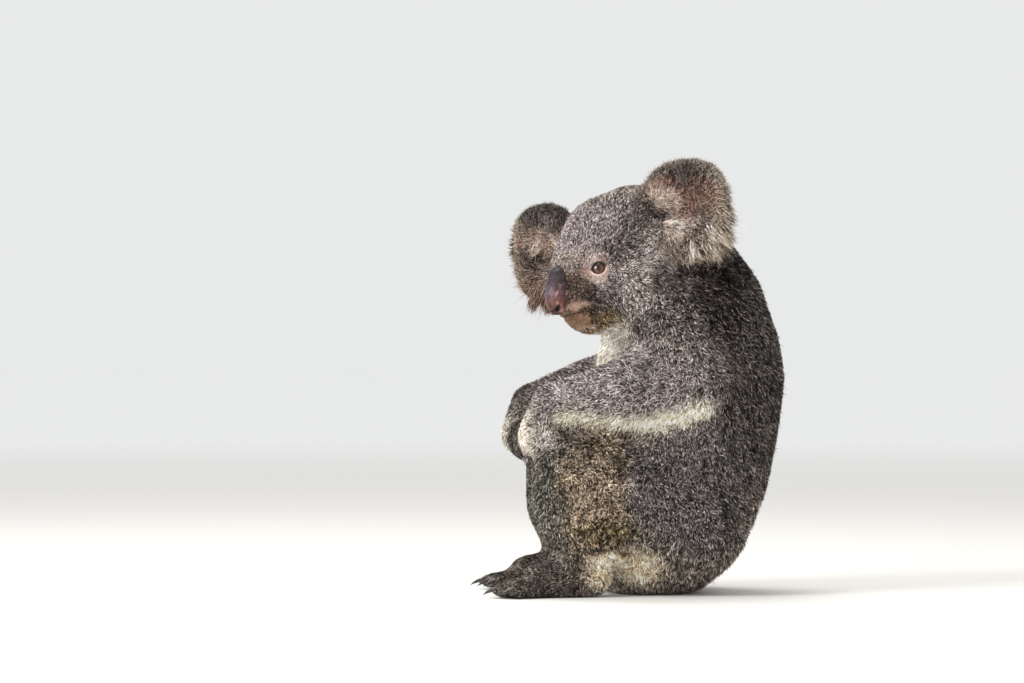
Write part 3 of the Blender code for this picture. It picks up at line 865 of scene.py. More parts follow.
# %% The furred finish
def furred_material(name, roughness, grain_mm, grain_depth, bump_mm, **sockets):
    """Colour from the piece's own points, broken up by a grain as banded hairs are, over a bump."""
    material, tree, shader = start_material(name, roughness, **sockets)
    colour = add_node(tree, "VertexColor", layer_name="coat")
    place = add_node(tree, "TexCoord")
    scale = 1 / (grain_mm * MM)
    grain = add_node(tree, "TexNoise", [("Vector", place.outputs["Object"])], scale=scale, detail=3.0)
    spread = add_node(
        tree, "MapRange", [("Value", grain.outputs["Fac"])],
        from_min=0.36, from_max=0.64, to_min=-grain_depth, to_max=grain_depth,
    )
    parts = [(0, spread.outputs["Result"]), (1, colour.outputs["Alpha"])]
    tone = add_node(tree, "Math", parts, [(2, 1.0)], operation="MULTIPLY_ADD")
    parts = [(0, colour.outputs["Color"]), (1, tone.outputs[0])]
    tinted = add_node(tree, "VectorMath", parts, operation="MULTIPLY")
    tree.links.new(tinted.outputs["Vector"], shader.inputs["Base Color"])
    bump = add_node(tree, "Bump", [("Height", grain.outputs["Fac"])], strength=0.6, distance=bump_mm * MM)
    tree.links.new(bump.outputs["Normal"], shader.inputs["Normal"])
    return material


def finish_piece(thing, material, slot, *nodes):
    """Gives a piece its finish, its place on the body, and the solids it stands for."""
    thing.data.materials.clear()
    thing.data.materials.append(material)
    thing.data.polygons.foreach_set("use_smooth", np.ones(len(thing.data.polygons), bool))
    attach(thing, "root")
    if nodes:
        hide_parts(*nodes)
    return thing


down_fur = furred_material("down at the base of the coat", 0.85, 1.5, 0.5, 0.5)
finish_piece(skin, down_fur, "grey_coat", *FLESH)
print("the skin stands for", len(FLESH), "solids")

# %% [markdown]
# ## Eyes
# A koala's eye is small, round and brown, with a pupil that closes to an upright slit. The ball is a
# sphere whose pole looks outwards. Its colours are stored on its points by their distance from the
# pole, and a wet clear coat gives the small bright highlight.

# %% Colours of the eye
IRIS_RADIUS = 5.7 * MM
PUPIL = np.array((1.9, 2.9)) * MM


def mix(first, second, share):
    share = np.asarray(share)[..., None]
    return first * (1 - share) + second * share


def eye_colours(local, angle_noise):
    """Colour by place on the ball: slit pupil, iris with fine spokes, dark ring, dark white of the eye, and a
    painted shadow of the upper lid over the top.
    """
    across = np.linalg.norm(local[:, :2], axis=1)
    spoke = np.sin(np.arctan2(local[:, 1], local[:, 0]) * 37 + angle_noise)
    bright = np.clip(0.45 + 0.3 * spoke - (across - 3 * MM) / (5 * MM), 0, 1)
    iris = mix(linear("#2E190B"), linear("#7C4C2B"), bright)
    edge = fade_in(across, 4.7 * MM, 0.9 * MM)
    colour = mix(iris, linear("#21140F"), edge)
    white = fade_in(across - IRIS_RADIUS, 0.3 * MM, 0.8 * MM)
    colour = mix(colour, linear("#4A3A33"), white)
    slit = np.linalg.norm(local[:, :2] / PUPIL, axis=1)
    pupil = fade_in(slit, 1.12, -0.24)
    # Painted shadow of the upper lid, darkening the top of the ball.
    lid_shadow = fade_in(local[:, 1], 0.6 * MM, 3.4 * MM)
    return mix(colour, linear("#060404"), pupil) * (1 - 0.7 * lid_shadow)[:, None]


print("iris", 2 * IRIS_RADIUS / MM, "mm across")

# %% Eyeballs
EYE_SOCKET_AXES = {}
wet_eye, eye_tree, eye_shader = start_material(
    "wet cornea over a brown iris", 0.25,
    Coat_Weight=1.0, Coat_Roughness=0.04, Coat_IOR=1.40, Specular_IOR_Level=0.15,
)
eye_colour = add_node(eye_tree, "VertexColor", layer_name="coat")
eye_place = add_node(eye_tree, "TexCoord")
fibres = 1 / (0.5 * MM)
eye_way = [("Vector", eye_place.outputs["Object"])]
eye_grain = add_node(eye_tree, "TexNoise", eye_way, scale=fibres, detail=2.0)
eye_tone = add_node(eye_tree, "MapRange", [("Value", eye_grain.outputs["Fac"])], to_min=0.75, to_max=1.25)
parts = [(0, eye_colour.outputs["Color"]), (1, eye_tone.outputs["Result"])]
eye_tinted = add_node(eye_tree, "VectorMath", parts, operation="MULTIPLY")
eye_tree.links.new(eye_tinted.outputs["Vector"], eye_shader.inputs["Base Color"])

for side, sign in SIDES.items():
    centre = head.inverted() @ middle_of("eye_" + side)
    flip = np.array((sign, 1, 1))
    own = Matrix([Vector(axis * flip) for axis in (EYE_ACROSS, EYE_UP, EYE_AXIS)]).transposed().to_4x4()
    EYE_SOCKET_AXES[side] = head @ Matrix.Translation(centre) @ own
    ball = bmesh.new()
    bmesh.ops.create_uvsphere(ball, u_segments=72, v_segments=56, radius=EYE_RADIUS)
    local = np.array([vert.co for vert in ball.verts])
    bmesh.ops.transform(ball, matrix=EYE_SOCKET_AXES[side], verts=ball.verts)
    bmesh.ops.recalc_face_normals(ball, faces=ball.faces)
    eyeball = link_mesh("eyeball_" + side, ball)
    paint(eyeball, eye_colours(local, sign * 0.7))
    finish_piece(eyeball, wet_eye, "brown_eye", "eye_" + side)
print("eyeballs of radius", EYE_RADIUS / MM, "mm")

# %% [markdown]
# ## Eyelids
# The lids are one thick fold round an almond opening. It is made as rings of points, bridged: the
# first ring touches the ball, the next ones roll over the moist rim, and the last ones run out under
# the fur. The opening is a little wider towards the nose, where the tear corner is.

# %% The form of the lids
LID_POINTS = 56
LID_RINGS = (  # way out from the opening, height over the ball's rim, share of the way to the outer height
    (-0.35, -0.30, 0.0), (0.05, 0.25, 0.0), (0.35, 0.62, 0.0), (0.80, 0.78, 0.02), (1.5, 0.70, 0.10),
    (2.4, 0.45, 0.24), (3.6, 0.20, 0.44), (5.0, 0.05, 0.68), (6.6, 0.0, 0.90), (8.0, 0.0, 1.0),
)
LID_OUTER_HEIGHT = 0.9
LID_COLOURS = {  # dark moist edge, rim, and the skin beyond
    "upper": ("#0B0706", "#0E0908", "#1D1512", "#857268"),
    "lower": ("#3A2823", "#C9A99E", "#D2B0A5", "#B0958B"),
}


def lid_opening(turn):
    """The almond opening, in millimetres across and up, at an angle round it."""
    across, up = math.cos(turn), math.sin(turn)
    return across * (6.2 if across > 0 else 6.8), up * (5.8 if up > 0 else 5.2) * (0.8 + 0.2 * abs(up))


print("lids with", len(LID_RINGS), "rings of", LID_POINTS)

# %% Lids
LID_COAT = {LENGTH: 0.7, DEPTH: 0.55, WIDTH: 0.8}  # against the eye ring's
lid_skin = furred_material("moist eyelid skin", 0.38, 0.7, 0.10, 0.15)
lid_grounds = {}
for side, sign in SIDES.items():
    fold = bmesh.new()
    rings = []
    for out, over, share in LID_RINGS:
        made = bmesh.ops.create_circle(fold, segments=LID_POINTS, radius=1.0)["verts"]
        for vert in made:
            turn = math.atan2(vert.co.y, vert.co.x)
            x, y = lid_opening(turn)
            span = math.hypot(x, y)
            rim = math.sqrt((EYE_RADIUS / MM) ** 2 - span**2)
            vert.co = Vector((x * (span + out) / span, y * (span + out) / span, 0))
            vert.co.z = rim * (1 - share) + LID_OUTER_HEIGHT * share + over
        ring = set(made)
        rings.append([edge for edge in fold.edges if set(edge.verts) <= ring])
    for inner, outer in zip(rings, rings[1:]):
        bmesh.ops.bridge_loops(fold, edges=inner + outer)
    fold.verts.ensure_lookup_table()
    local = np.array([vert.co for vert in fold.verts])
    ring_of = np.repeat(np.arange(len(LID_RINGS)), LID_POINTS)
    bmesh.ops.scale(fold, vec=(MM, MM, MM), verts=fold.verts)
    bmesh.ops.transform(fold, matrix=EYE_SOCKET_AXES[side], verts=fold.verts)
    bmesh.ops.recalc_face_normals(fold, faces=fold.faces)
    facing = sum((face.normal @ (EYE_SOCKET_AXES[side].to_3x3() @ Vector((0, 0, 1))) for face in fold.faces))
    if facing < 0:
        bmesh.ops.reverse_faces(fold, faces=fold.faces)
    lids = link_mesh("eyelids_" + side, fold)
    shade = [np.array([linear(colour) for colour in LID_COLOURS[which]]) for which in ("upper", "lower")]
    ramp = np.interp(ring_of, (0, 1.5, 3.2, 6), (0, 1, 2, 3))
    level, part = np.floor(ramp).astype(int), ramp % 1
    tones = [mix(each[level], each[np.minimum(level + 1, 3)], part) for each in shade]
    lower = np.clip(0.5 - local[:, 1] / 3.0, 0, 1)
    paint(lids, mix(tones[0], tones[1], lower))
    finish_piece(lids, lid_skin, "nose_skin")
    centre = np.array(EYE_SOCKET_AXES[side].translation)
    lid_points = places_of(lids)
    row = np.tile(coat_table[coat_names.index("eye_ring")], (len(lid_points), 1))
    row[:, :3] = mix(linear("#9A877E"), linear("#C2AEA5"), lower)
    for column, share in LID_COAT.items():
        row[:, column] *= share
    lid_grounds[side] = {
        "points": lid_points,
        "outward": normals_of(lids),
        "lie": unit(lid_points - centre),
        "bend": np.full(len(lid_points), 30.0),
        "coat": row,
        "bare": ring_of < 4,
    }
    print(lids.name, len(lids.data.polygons), "faces")

# %% [markdown]
# ## The nose
# The nose is a tall leathery pad, slate above and mauve-pink below, with comma-shaped nostrils low
# on each side and a shallow groove down the middle. The solid's hull is melted on a fine grid and
# smoothed, then the nostrils are pressed in along a short curve of points with a rim round them.
# Fine pebbles and a thin damp coat over the leather give it a broken, satin sheen. Painted shade
# darkens the nostrils, the middle groove and the creases between pebbles, and a painted reflection
# of the sky lies blue-grey on the upper front.

# %% Nose pad
PAD_WIDTH, PAD_DEPTH, PAD_BACK, PAD_VOXEL = 0.86, 0.8, 24 * MM, 0.75 * MM
NOSE_MIDDLE = np.array((0, -98.5, -64)) * MM
NOSTRIL = (  # places along the comma, and how deep it is there
    ((3.0, -111.0, -80.8), 1.4), ((3.8, -110.6, -79.8), 3.0), ((4.6, -110.1, -78.6), 3.6),
    ((5.4, -109.4, -77.2), 2.8), ((6.0, -108.6, -75.6), 1.4),
)
NOSTRIL_WING = np.array((7.8, -106.4, -80.8)) * MM
pad = merged_copy("nose")
for vert in pad.verts:
    place = head.inverted() @ vert.co
    vert.co = head @ Vector((place.x * PAD_WIDTH, place.y * PAD_DEPTH - PAD_BACK, place.z))
nose = link_mesh("nose_pad", pad)
voxel_remesh(nose, PAD_VOXEL)
bumps = nose.modifiers.new("soften", "SMOOTH")
bumps.factor, bumps.iterations = 0.5, 14
bpy.context.view_layer.update()
apply_modifiers(nose)
print("nose pad:", len(nose.data.polygons), "faces")

# %% Nostrils and the groove between them
pad_points = places_of(nose)
pad_outward = normals_of(nose)
local = out_of_axes(head, pad_points)
mirror_local = local * np.where(local[:, [0]] < 0, -1, 1) ** np.array([[1, 0, 0]])
press = np.zeros(len(local))
rim = np.zeros(len(local))
for spot, deep in NOSTRIL:
    away = np.linalg.norm(mirror_local - np.array(spot) * MM, axis=1)
    away = np.linalg.norm(mirror_local - mirror_local[away.argmin()], axis=1)
    press = np.maximum(press, deep * ridge(away, 1.6 * MM))
    rim = np.maximum(rim, ridge(away - 2.9 * MM, 1.0 * MM))
wing = mirror_local[np.linalg.norm(mirror_local - NOSTRIL_WING, axis=1).argmin()]
lobule = ridge(np.linalg.norm(mirror_local - wing, axis=1), 2.5 * MM)
below = fade_in(local[:, 2], NOSE_MIDDLE[2] - 2 * MM, -6 * MM)
septum = 0.9 * ridge(local[:, 0], 0.9 * MM) * below * (local[:, 1] < NOSE_MIDDLE[1])
swell = 0.55 * rim * (press < 0.5) + 1.5 * lobule - press - septum + 0.18 * wavy_noise(pad_points, 5 * MM, 61)
pad_points = pad_points + pad_outward * (swell * MM)[:, None]
set_points(nose, pad_points)
print("nostrils", round(press.max(), 1), "mm deep")

# %% Colours of the nose
height = (local[:, 2] - NOSE_MIDDLE[2]) / MM
nose_ramp = np.array([linear(c) for c in ("#543025", "#60392E", "#57363B", "#38242A", "#241619")])
level = np.interp(height + 2.5 * wavy_noise(pad_points, 11 * MM, 62), (-18, -9, 0, 10, 20), range(5))
level = np.clip(level, 0, 3.999)
tone = mix(nose_ramp[level.astype(int)], nose_ramp[level.astype(int) + 1], level % 1)
flush = np.clip(wavy_noise(pad_points, 6 * MM, 63) * 1.4 - 0.25, 0, 1)
flush = flush * fade_in(np.abs(local[:, 0]) / MM, 4, 4)
tone = mix(tone, linear("#A87C80"), 0.75 * flush * fade_in(height, 12, -10))
# Painted reflection of the sky: a blue-grey sheen on the upper front of the pad.
sky_reflection = ridge(local[:, 0] + 1 * MM, 5.5 * MM) * ridge(height - 4, 9)
tone = mix(tone, linear("#514D5C"), 0.45 * sky_reflection)
mottle = 0.42 * wavy_noise(pad_points, 2.6 * MM, 64) + 0.3 * wavy_noise(pad_points, 7 * MM, 65)
tone = tone * np.exp(mottle)[:, None]
# Painted shade: the nostrils darken to near-black with the depth they are pressed in.
tone = mix(tone, linear("#0C0707"), np.clip(press, 0, 1))
tone = mix(tone, linear("#C99A8C"), 0.75 * lobule * (press < 0.4))
outer_rim = rim * (press < 0.5) * (mirror_local[:, 0] > 7.5 * MM)
tone = mix(tone, linear("#9A7069"), 0.5 * outer_rim * fade_in(height, 0, -8))
# Painted shade along the groove down the middle.
tone = tone * (1 - 0.35 * septum[:, None])
paint(nose, tone)
print("nose colours, mean:", tone.mean(axis=0).round(3))

# %% Nose leather
leather, nose_tree, nose_shader = start_material(
    "damp pebbled nose leather", 0.44, Coat_Weight=0.12, Coat_Roughness=0.26, Specular_IOR_Level=0.28
)
nose_colour = add_node(nose_tree, "VertexColor", layer_name="coat")
nose_place = add_node(nose_tree, "TexCoord")
pebbles = add_node(
    nose_tree, "TexVoronoi", [("Vector", nose_place.outputs["Object"])],
    scale=1 / (1.3 * MM), feature="DISTANCE_TO_EDGE",
)
# Painted shade in the creases between pebbles: the colour falls to 0.62 at their edges, and the same value
# sets the bump.
crease = add_node(nose_tree, "MapRange", [("Value", pebbles.outputs["Distance"])], from_max=0.16, to_min=0.62)
parts = [(0, nose_colour.outputs["Color"]), (1, crease.outputs["Result"])]
nose_tinted = add_node(nose_tree, "VectorMath", parts, operation="MULTIPLY")
nose_tree.links.new(nose_tinted.outputs["Vector"], nose_shader.inputs["Base Color"])
pebble_height = [("Height", crease.outputs["Result"])]
nose_bump = add_node(nose_tree, "Bump", pebble_height, strength=1.0, distance=0.45 * MM)
nose_tree.links.new(nose_bump.outputs["Normal"], nose_shader.inputs["Normal"])
finish_piece(nose, leather, "nose_skin", "nose")
print("finished", nose.name)

# %% [markdown]
# ## Claws
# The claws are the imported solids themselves. They keep their shape and get a horn finish: dark and
# glossy, mottled with worn paler flecks, over a fine bump.

# %% Claws
horn, horn_tree, horn_shader = start_material("dark claw horn", 0.32)
horn_place = add_node(horn_tree, "TexCoord")
flecks = 1 / (1.5 * MM)
horn_way = [("Vector", horn_place.outputs["Object"])]
horn_grain = add_node(horn_tree, "TexNoise", horn_way, scale=flecks, detail=3.0)
horn_ramp = add_node(horn_tree, "ValToRGB", [("Fac", horn_grain.outputs["Fac"])])
for stop, place, colour in zip(horn_ramp.color_ramp.elements, (0.35, 0.75), ("#1E1917", "#5A4D44")):
    stop.position, stop.color = place, (*linear(colour), 1)
horn_tree.links.new(horn_ramp.outputs["Color"], horn_shader.inputs["Base Color"])
horn_height = [("Height", horn_grain.outputs["Fac"])]
horn_bump = add_node(horn_tree, "Bump", horn_height, strength=0.4, distance=0.2 * MM)
horn_tree.links.new(horn_bump.outputs["Normal"], horn_shader.inputs["Normal"])
claws = [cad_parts[node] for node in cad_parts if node.startswith("claw")]
for claw in claws:
    claw.data.materials.clear()
    claw.data.materials.append(horn)
print(len(claws), "claws")

# %% [markdown]
# ## The coat
# A tuft is a narrow blade of three triangles: a quad and a tip. It leaves the skin, bows over and
# lies along the body, dark at its base and pale at its end. Hundreds of thousands of them are laid
# out as arrays, because an operator call for each would take hours.
#
# For baking, each tuft is a small patch at its root's place on an unwrap of the skin.

# %% The unwrap
UNWRAP_ANGLE, ISLAND_MARGIN = math.radians(70), 0.004


def unwrapped(thing, keep_faces):
    """A copy of some of a piece's faces, unwrapped. Gives its triangles' points, as numbers in the whole
    piece, and the places of their corners on the unwrap."""
    part = bmesh.new()
    part.from_mesh(thing.data)
    origin = part.verts.layers.int.new("origin")
    for vert in part.verts:
        vert[origin] = vert.index
    bmesh.ops.delete(part, geom=[face for face in part.faces if not keep_faces[face.index]], context="FACES")
    copy = link_mesh("unwrap", part)
    bpy.ops.object.select_all(action="DESELECT")
    copy.select_set(True)
    bpy.context.view_layer.objects.active = copy
    bpy.ops.object.mode_set(mode="EDIT")
    bpy.ops.mesh.select_all(action="SELECT")
    bpy.ops.uv.smart_project(angle_limit=UNWRAP_ANGLE, island_margin=ISLAND_MARGIN)
    bpy.ops.object.mode_set(mode="OBJECT")
    data = copy.data
    data.calc_loop_triangles()
    numbers = read(data.attributes["origin"].data, "value")
    corners = read(data.loop_triangles, "vertices", 3)
    loops = read(data.loop_triangles, "loops", 3)
    chart = read(data.uv_layers.active.data, "uv", 2, np.float32)
    bpy.data.objects.remove(copy)
    bpy.data.meshes.remove(data)
    return numbers[corners], chart[loops]


print("unwrap angle:", round(math.degrees(UNWRAP_ANGLE)), "degrees")

# %% The blade
BLADE_STEPS = np.array((0.0, 0.48, 1.0))
BLADE_RISE = np.array((-0.06, 0.72, 1.0))
BLADE_TAPER = np.array((0.75, 1.0, 0.0))
BLADE_SHADE = np.array((0.22, 0.82, 1.90))
BLADE_LOOPS = np.array((1, 0, 2, 3, 3, 2, 4))
BLADE_SIDES = np.array((-1, 1, -1, 1, 0))
BLADE_LEVEL = np.array((0, 0, 1, 1, 2))
BLADE_POINTS, BLADE_CORNERS, BLADE_TRIANGLES = 5, 7, 3
PATCH = 0.0015  # half the width of a tuft's patch on the unwrap
FLOOR_CLEARANCE = 0.3 * MM


def blade_mesh(name, spine, side, colours, charts, grain):
    """One mesh of blades. spine, side and colours are (n, 3, 3), charts the roots' places on the unwrap."""
    count = len(spine)
    places = spine[:, BLADE_LEVEL] + side[:, BLADE_LEVEL] * BLADE_SIDES[None, :, None]
    places[..., 2] = np.maximum(places[..., 2], FLOOR_CLEARANCE)
    data = bpy.data.meshes.new(name)
    data.vertices.add(count * BLADE_POINTS)
    data.loops.add(count * BLADE_CORNERS)
    data.polygons.add(count * 2)
    data.vertices.foreach_set("co", places.astype(np.float32).ravel())
    start = np.arange(count)[:, None]
    data.polygons.foreach_set("loop_start", (start * BLADE_CORNERS + (0, 4)).ravel().astype(np.int32))
    data.loops.foreach_set("vertex_index", (start * BLADE_POINTS + BLADE_LOOPS).ravel().astype(np.int32))
    data.update(calc_edges=True)
    spot = np.stack([BLADE_SIDES, BLADE_STEPS[BLADE_LEVEL] * 2 - 1], axis=1) * PATCH
    spots = np.clip(charts[:, None] + spot[None], 0, 1)[:, BLADE_LOOPS]
    layer = data.uv_layers.new(name="OFBake")
    layer.data.foreach_set("uv", spots.astype(np.float32).ravel())
    thing = bpy.data.objects.new(name, data)
    bpy.context.scene.collection.objects.link(thing)
    paint(thing, colours[:, BLADE_LEVEL].reshape(-1, 3), np.repeat(grain, BLADE_POINTS))
    return thing


print("a blade has", BLADE_TRIANGLES, "triangles and", BLADE_POINTS, "points")

# %% [markdown]
# Neighbouring tufts lean together into small locks, as damp or woolly fur does. The ears also have
# long locks of their own, listed one by one: each takes a share of the tufts round a place, combs them
# one way and gives them its length and coat.

# %% Locks
LOCK_ROWS = read_rows("""
ear_left -20 -7 -11  6 .7  1 -.3 -.35  11 ear_soft
ear_left -11 -5 -14  7 .6  1 -.3 -.4  11 ear_soft
ear_left 3 -6 -30  5.5 .9  .35 -.35 -1  19 lock
ear_left -18 -4 -28  5 .6  .25 -.3 -1  14 ear_tuft
ear_left 10 -4 -14  9 .3  .8 -.3 -.7  16 lock
ear_left 20 -6 -24  9 .3  .7 -.3 -.8  16 lock
ear_left 34 -4 -26  12 .5  .6 -.1 -1  19 ear_edge
ear_left 38 -4 -8  12 .3  .7 -.1 -.9  13 ear_edge
ear_left 22 -4 -36  12 .5  .4 -.2 -1  19 ear_edge
ear_right -12 -6 -34  9 .7  -.1 -.2 -1  18 ear_strand
ear_right 0 -6 -38  9 .7  .2 -.2 -1  18 ear_strand
ear_right -8 -6 12  9 .6  -.4 -.3 -.8  11 ear_light
""")  # axes, middle of the roots, radius, share of them, way the lock points, length, coat
LOCKS = [
    (in_axes(AXES[axes], [np.array(row[:3]) * MM])[0], row[3] * MM, row[4],
     unit(in_axes(AXES[axes], [row[5:8]], True))[0], row[8] * MM, coat_names.index(coat))
    for axes, *row, coat in LOCK_ROWS
]


def lock_centres(places, size, seed):
    """Groups places into locks of about that size. Gives each place its lock's number and middle."""
    cell = np.floor(jittered(places, 2.5 * size, 0.3 * size, seed) / size).astype(np.int64)
    key = (cell[:, 0] * 73856093) ^ (cell[:, 1] * 19349663) ^ (cell[:, 2] * 83492791)
    _, lock = np.unique(key, return_inverse=True)
    lock = lock.reshape(-1)
    count = np.bincount(lock)
    middle = np.stack([np.bincount(lock, axis_values) / count for axis_values in places.T], axis=1)
    return lock, middle[lock]


def turned(along, across, angle):
    """Two directions at right angles, turned together in their own plane."""
    cos, sin = np.cos(angle)[:, None], np.sin(angle)[:, None]
    return along * cos + across * sin, across * cos - along * sin


def lay_locks(root, up, along, across, chart, curve):
    """Combs the tufts that each lock takes, in place."""
    for place, radius, taken_share, aim, far, coat in LOCKS:
        near = np.linalg.norm(root - place, axis=1) < radius * rng.uniform(0.6, 1.1, len(root))
        taken = near & (rng.random(len(root)) < taken_share)
        chart[taken] = coat_table[coat]
        chart[taken, LENGTH] = far
        combed = unit(aim + 0.10 * rng.normal(size=(taken.sum(), 3)))
        along[taken] = unit(combed + 1.1 * taken_share * (place - root[taken]) / far)
        across[taken] = unit(np.cross(up[taken], along[taken]))
        curve[taken] = 6.0


print(len(LOCKS), "locks laid by hand")

# %% [markdown]
# Each tuft has a look of its own. A share are paler and a share darker, and a few are long, thin
# and loose. Where the coat is very short the tufts differ little, and a white coat is white down
# to the root.

# %% Where tufts stand
DENSITY = 1.17
INSIDE = 0.5 * MM
cad_low, cad_high = (np.array(corner) for corner in cad_box)


def scatter(ground, triangles):
    """A triangle for each root and its place in it as three shares, closer where tufts are narrow."""
    corner = ground["points"][triangles]
    area = np.linalg.norm(np.cross(corner[:, 1] - corner[:, 0], corner[:, 2] - corner[:, 0]), axis=1) / 2
    bare = ground["bare"][triangles].any(axis=1)
    wanted = np.where(bare, 0, area * DENSITY / ground["coat"][triangles, WIDTH].mean(axis=1) ** 2)
    count = int(wanted.sum())
    chosen = rng.choice(len(triangles), count, p=wanted / wanted.sum())
    share = -np.log(rng.random((count, 3)))
    return chosen, share / share.sum(axis=1, keepdims=True)


def kept_inside(root, spine):
    """Shortens the tufts that would reach past the solids' box."""
    beyond = np.maximum(spine - (cad_high - INSIDE), (cad_low + INSIDE) - spine).max(axis=(1, 2))
    far = np.linalg.norm(spine[:, -1] - root, axis=1)
    return root[:, None] + (spine - root[:, None]) * np.clip(1 - 1.2 * beyond / far, 0.15, 1)[:, None, None]


print("density:", DENSITY, "tufts for each square of a tuft's width")


# %% Tuft colours
DARK_TONE, PALE_TONE, LOOSE_TONE = 0.30, 2.0, 1.4
CREAM_TIP = linear("#DDD3C8")


def blade_colours(chart, root, lock, dome, loose):
    """Each blade's colours at base, bend and tip, and how much fine grain it bears."""
    lock_tone = np.exp(rng.normal(scale=0.8, size=lock.max() + 1))[lock] ** (chart[:, MOTTLE] + 0.14)
    woolly = woolliness(chart)
    sleek = fade_in(chart[:, DEPTH], 1.5 * MM, -0.6 * MM)
    tone = lock_tone * np.exp(rng.normal(scale=0.55, size=len(root)) + 0.16 * wavy_noise(root, 11 * MM, 8))
    # Painted light and shade on woolly locks: lighter at a lock's crown, darker at its edge.
    tone *= 1 + woolly * (1.5 * dome - 0.65)
    draw = rng.random(len(root))
    tone = np.where(draw < chart[:, DARK], tone * DARK_TONE, tone)
    pale = (draw > 1 - chart[:, PALE]) | loose
    tone = np.where(pale, np.maximum(tone, 1.0) * np.where(loose, LOOSE_TONE, PALE_TONE), tone)
    tone = np.minimum(tone ** (1 - 0.6 * sleek), 9.0 - 6.8 * woolly)
    shade = BLADE_SHADE + (0.75 * sleek)[:, None] * (1.05 - BLADE_SHADE)
    fair = 0.85 * fade_in(chart[:, :3].mean(axis=1), 0.5, 0.25)[:, None]
    shade = shade + fair * (1.1 - shade)
    colours = chart[:, None, :3] * (tone[:, None] * shade)[..., None]
    cream = np.where(pale, 0.35, 0.0)[:, None, None] * (BLADE_STEPS**1.5)[None, :, None]
    return np.clip(colours * (1 - cream) + CREAM_TIP * cream, 0, 0.94), 1 - 0.7 * sleek


print("pale tufts are", PALE_TONE, "times as bright, dark ones", DARK_TONE)


# %% Growing tufts
MOST_BLADES = 65000
LENGTH_SPREAD, RISE_SPREAD, WIDTH_SPREAD = (0.7, 1.15), (0.62, 1.06), (0.75, 1.25)
LOOSE_LENGTH, LOOSE_RISE, LOOSE_WIDTH = 1.35, 1.45, 0.5


def grow(name, ground, triangles, charts, clump, loose_share, lock_size=5):
    """Grows one region's tufts, as one or more pieces, from the values at the points of what they grow on."""
    chosen, share = scatter(ground, triangles)
    count = len(chosen)

    def at_root(values):
        return np.einsum("ij,ij...->i...", share, values[triangles[chosen]])

    root, up, along = at_root(ground["points"]), unit(at_root(ground["outward"])), at_root(ground["lie"])
    chart, curve = at_root(ground["coat"]), at_root(ground["bend"])
    spot = np.einsum("ij,ijk->ik", share, charts[chosen])
    along = unit(along - (along * up).sum(axis=1, keepdims=True) * up)
    lean = 0.75 * rng.normal(size=count) + 0.9 * wavy_noise(root, 14 * MM, 5)
    lean = chart[:, UNRULY] * (lean + 0.6 * wavy_noise(root, 5 * MM, 6))
    along, across = turned(along, np.cross(up, along), lean)
    lay_locks(root, up, along, across, chart, curve)
    length = chart[:, LENGTH] * rng.uniform(*LENGTH_SPREAD, count)
    rise = chart[:, DEPTH] * rng.uniform(*RISE_SPREAD, count)
    wide = chart[:, WIDTH] * rng.uniform(*WIDTH_SPREAD, count)
    loose = rng.random(count) < loose_share
    along, across = turned(along, across, np.where(loose, rng.normal(scale=0.7, size=count), 0))
    length = np.where(loose, length * LOOSE_LENGTH, length)
    rise = np.where(loose, rise * LOOSE_RISE, rise)
    wide = np.where(loose, wide * LOOSE_WIDTH, wide)

    reach = length[:, None] * BLADE_STEPS
    lift = rise[:, None] * BLADE_RISE - curve[:, None] * reach**2 / 2
    spine = root[:, None] + along[:, None] * reach[..., None] + up[:, None] * lift[..., None]
    lock, middle = lock_centres(root, lock_size * MM, 40)
    dome = np.clip(1.15 - np.linalg.norm(middle - root, axis=1) / (0.5 * lock_size * MM), 0, 1)
    curl = woolliness(chart) * (dome - 0.5) * 1.8 * MM
    spine += (curl[:, None] * BLADE_STEPS)[..., None] * up[:, None]
    pull = (clump * (0.5 + chart[:, MOTTLE]))[:, None, None] * (BLADE_STEPS**1.5)[None, :, None]
    spine = kept_inside(root, spine + pull * (middle - root)[:, None])
    roll = rng.normal(scale=0.55, size=count)[:, None]
    side = (across * np.cos(roll) + up * np.sin(roll))[:, None] * (wide[:, None] * BLADE_TAPER / 2)[..., None]
    colours, grain = blade_colours(chart, root, lock, dome, loose)
    pieces = []
    parts = -(-count // MOST_BLADES)
    for number in range(parts):
        part = slice(number, count, parts)
        title = name if parts == 1 else f"{name}_{number + 1}"
        pieces.append(blade_mesh(title, spine[part], side[part], colours[part], spot[part], grain[part]))
    print(f"{name}: {count} tufts in {parts} piece(s)")
    return pieces


print("pieces of", MOST_BLADES, "tufts at most")

# %% [markdown]
# Each region of the skin grows a coat of its own, as pieces of fewer than 200,000 triangles. The
# lids grow a very short one. One fur finish serves all of them: banded hair, dull, with a fine bump.

# %% The coat, region by region
REGIONS = {  # nodes, slot, how much locks draw together, share of long loose hairs, size of a lock in mm
    "coat_head": (("head", "jaw"), "grey_coat", 0.15, 0.01, 4),
    **{f"coat_ear_{side}": ((f"ear_{side}",), "grey_coat", 0.55, 0.16, 4.5) for side in SIDES},
    "coat_nape": (("neck",), "dark_coat", 0.25, 0.015, 5),
    "coat_chest": (("chest",), "grey_coat", 0.25, 0.015, 5),
    "coat_belly": (("belly",), "grey_coat", 0.25, 0.015, 5),
    "coat_rump": (("rump",), "pale_coat", 0.45, 0.015, 5),
    **{f"coat_arm_{side}": (FAMILIES["arm_" + side], "grey_coat", 0.25, 0.02, 4) for side in SIDES},
    **{f"coat_leg_{side}": (FAMILIES["leg_" + side], "grey_coat", 0.5, 0.015, 4.5) for side in SIDES},
}
fur = furred_material("koala fur", 0.72, 1.8, 0.72, 0.2)
fur.node_tree.nodes["Principled BSDF"].inputs["Specular IOR Level"].default_value = 0.12
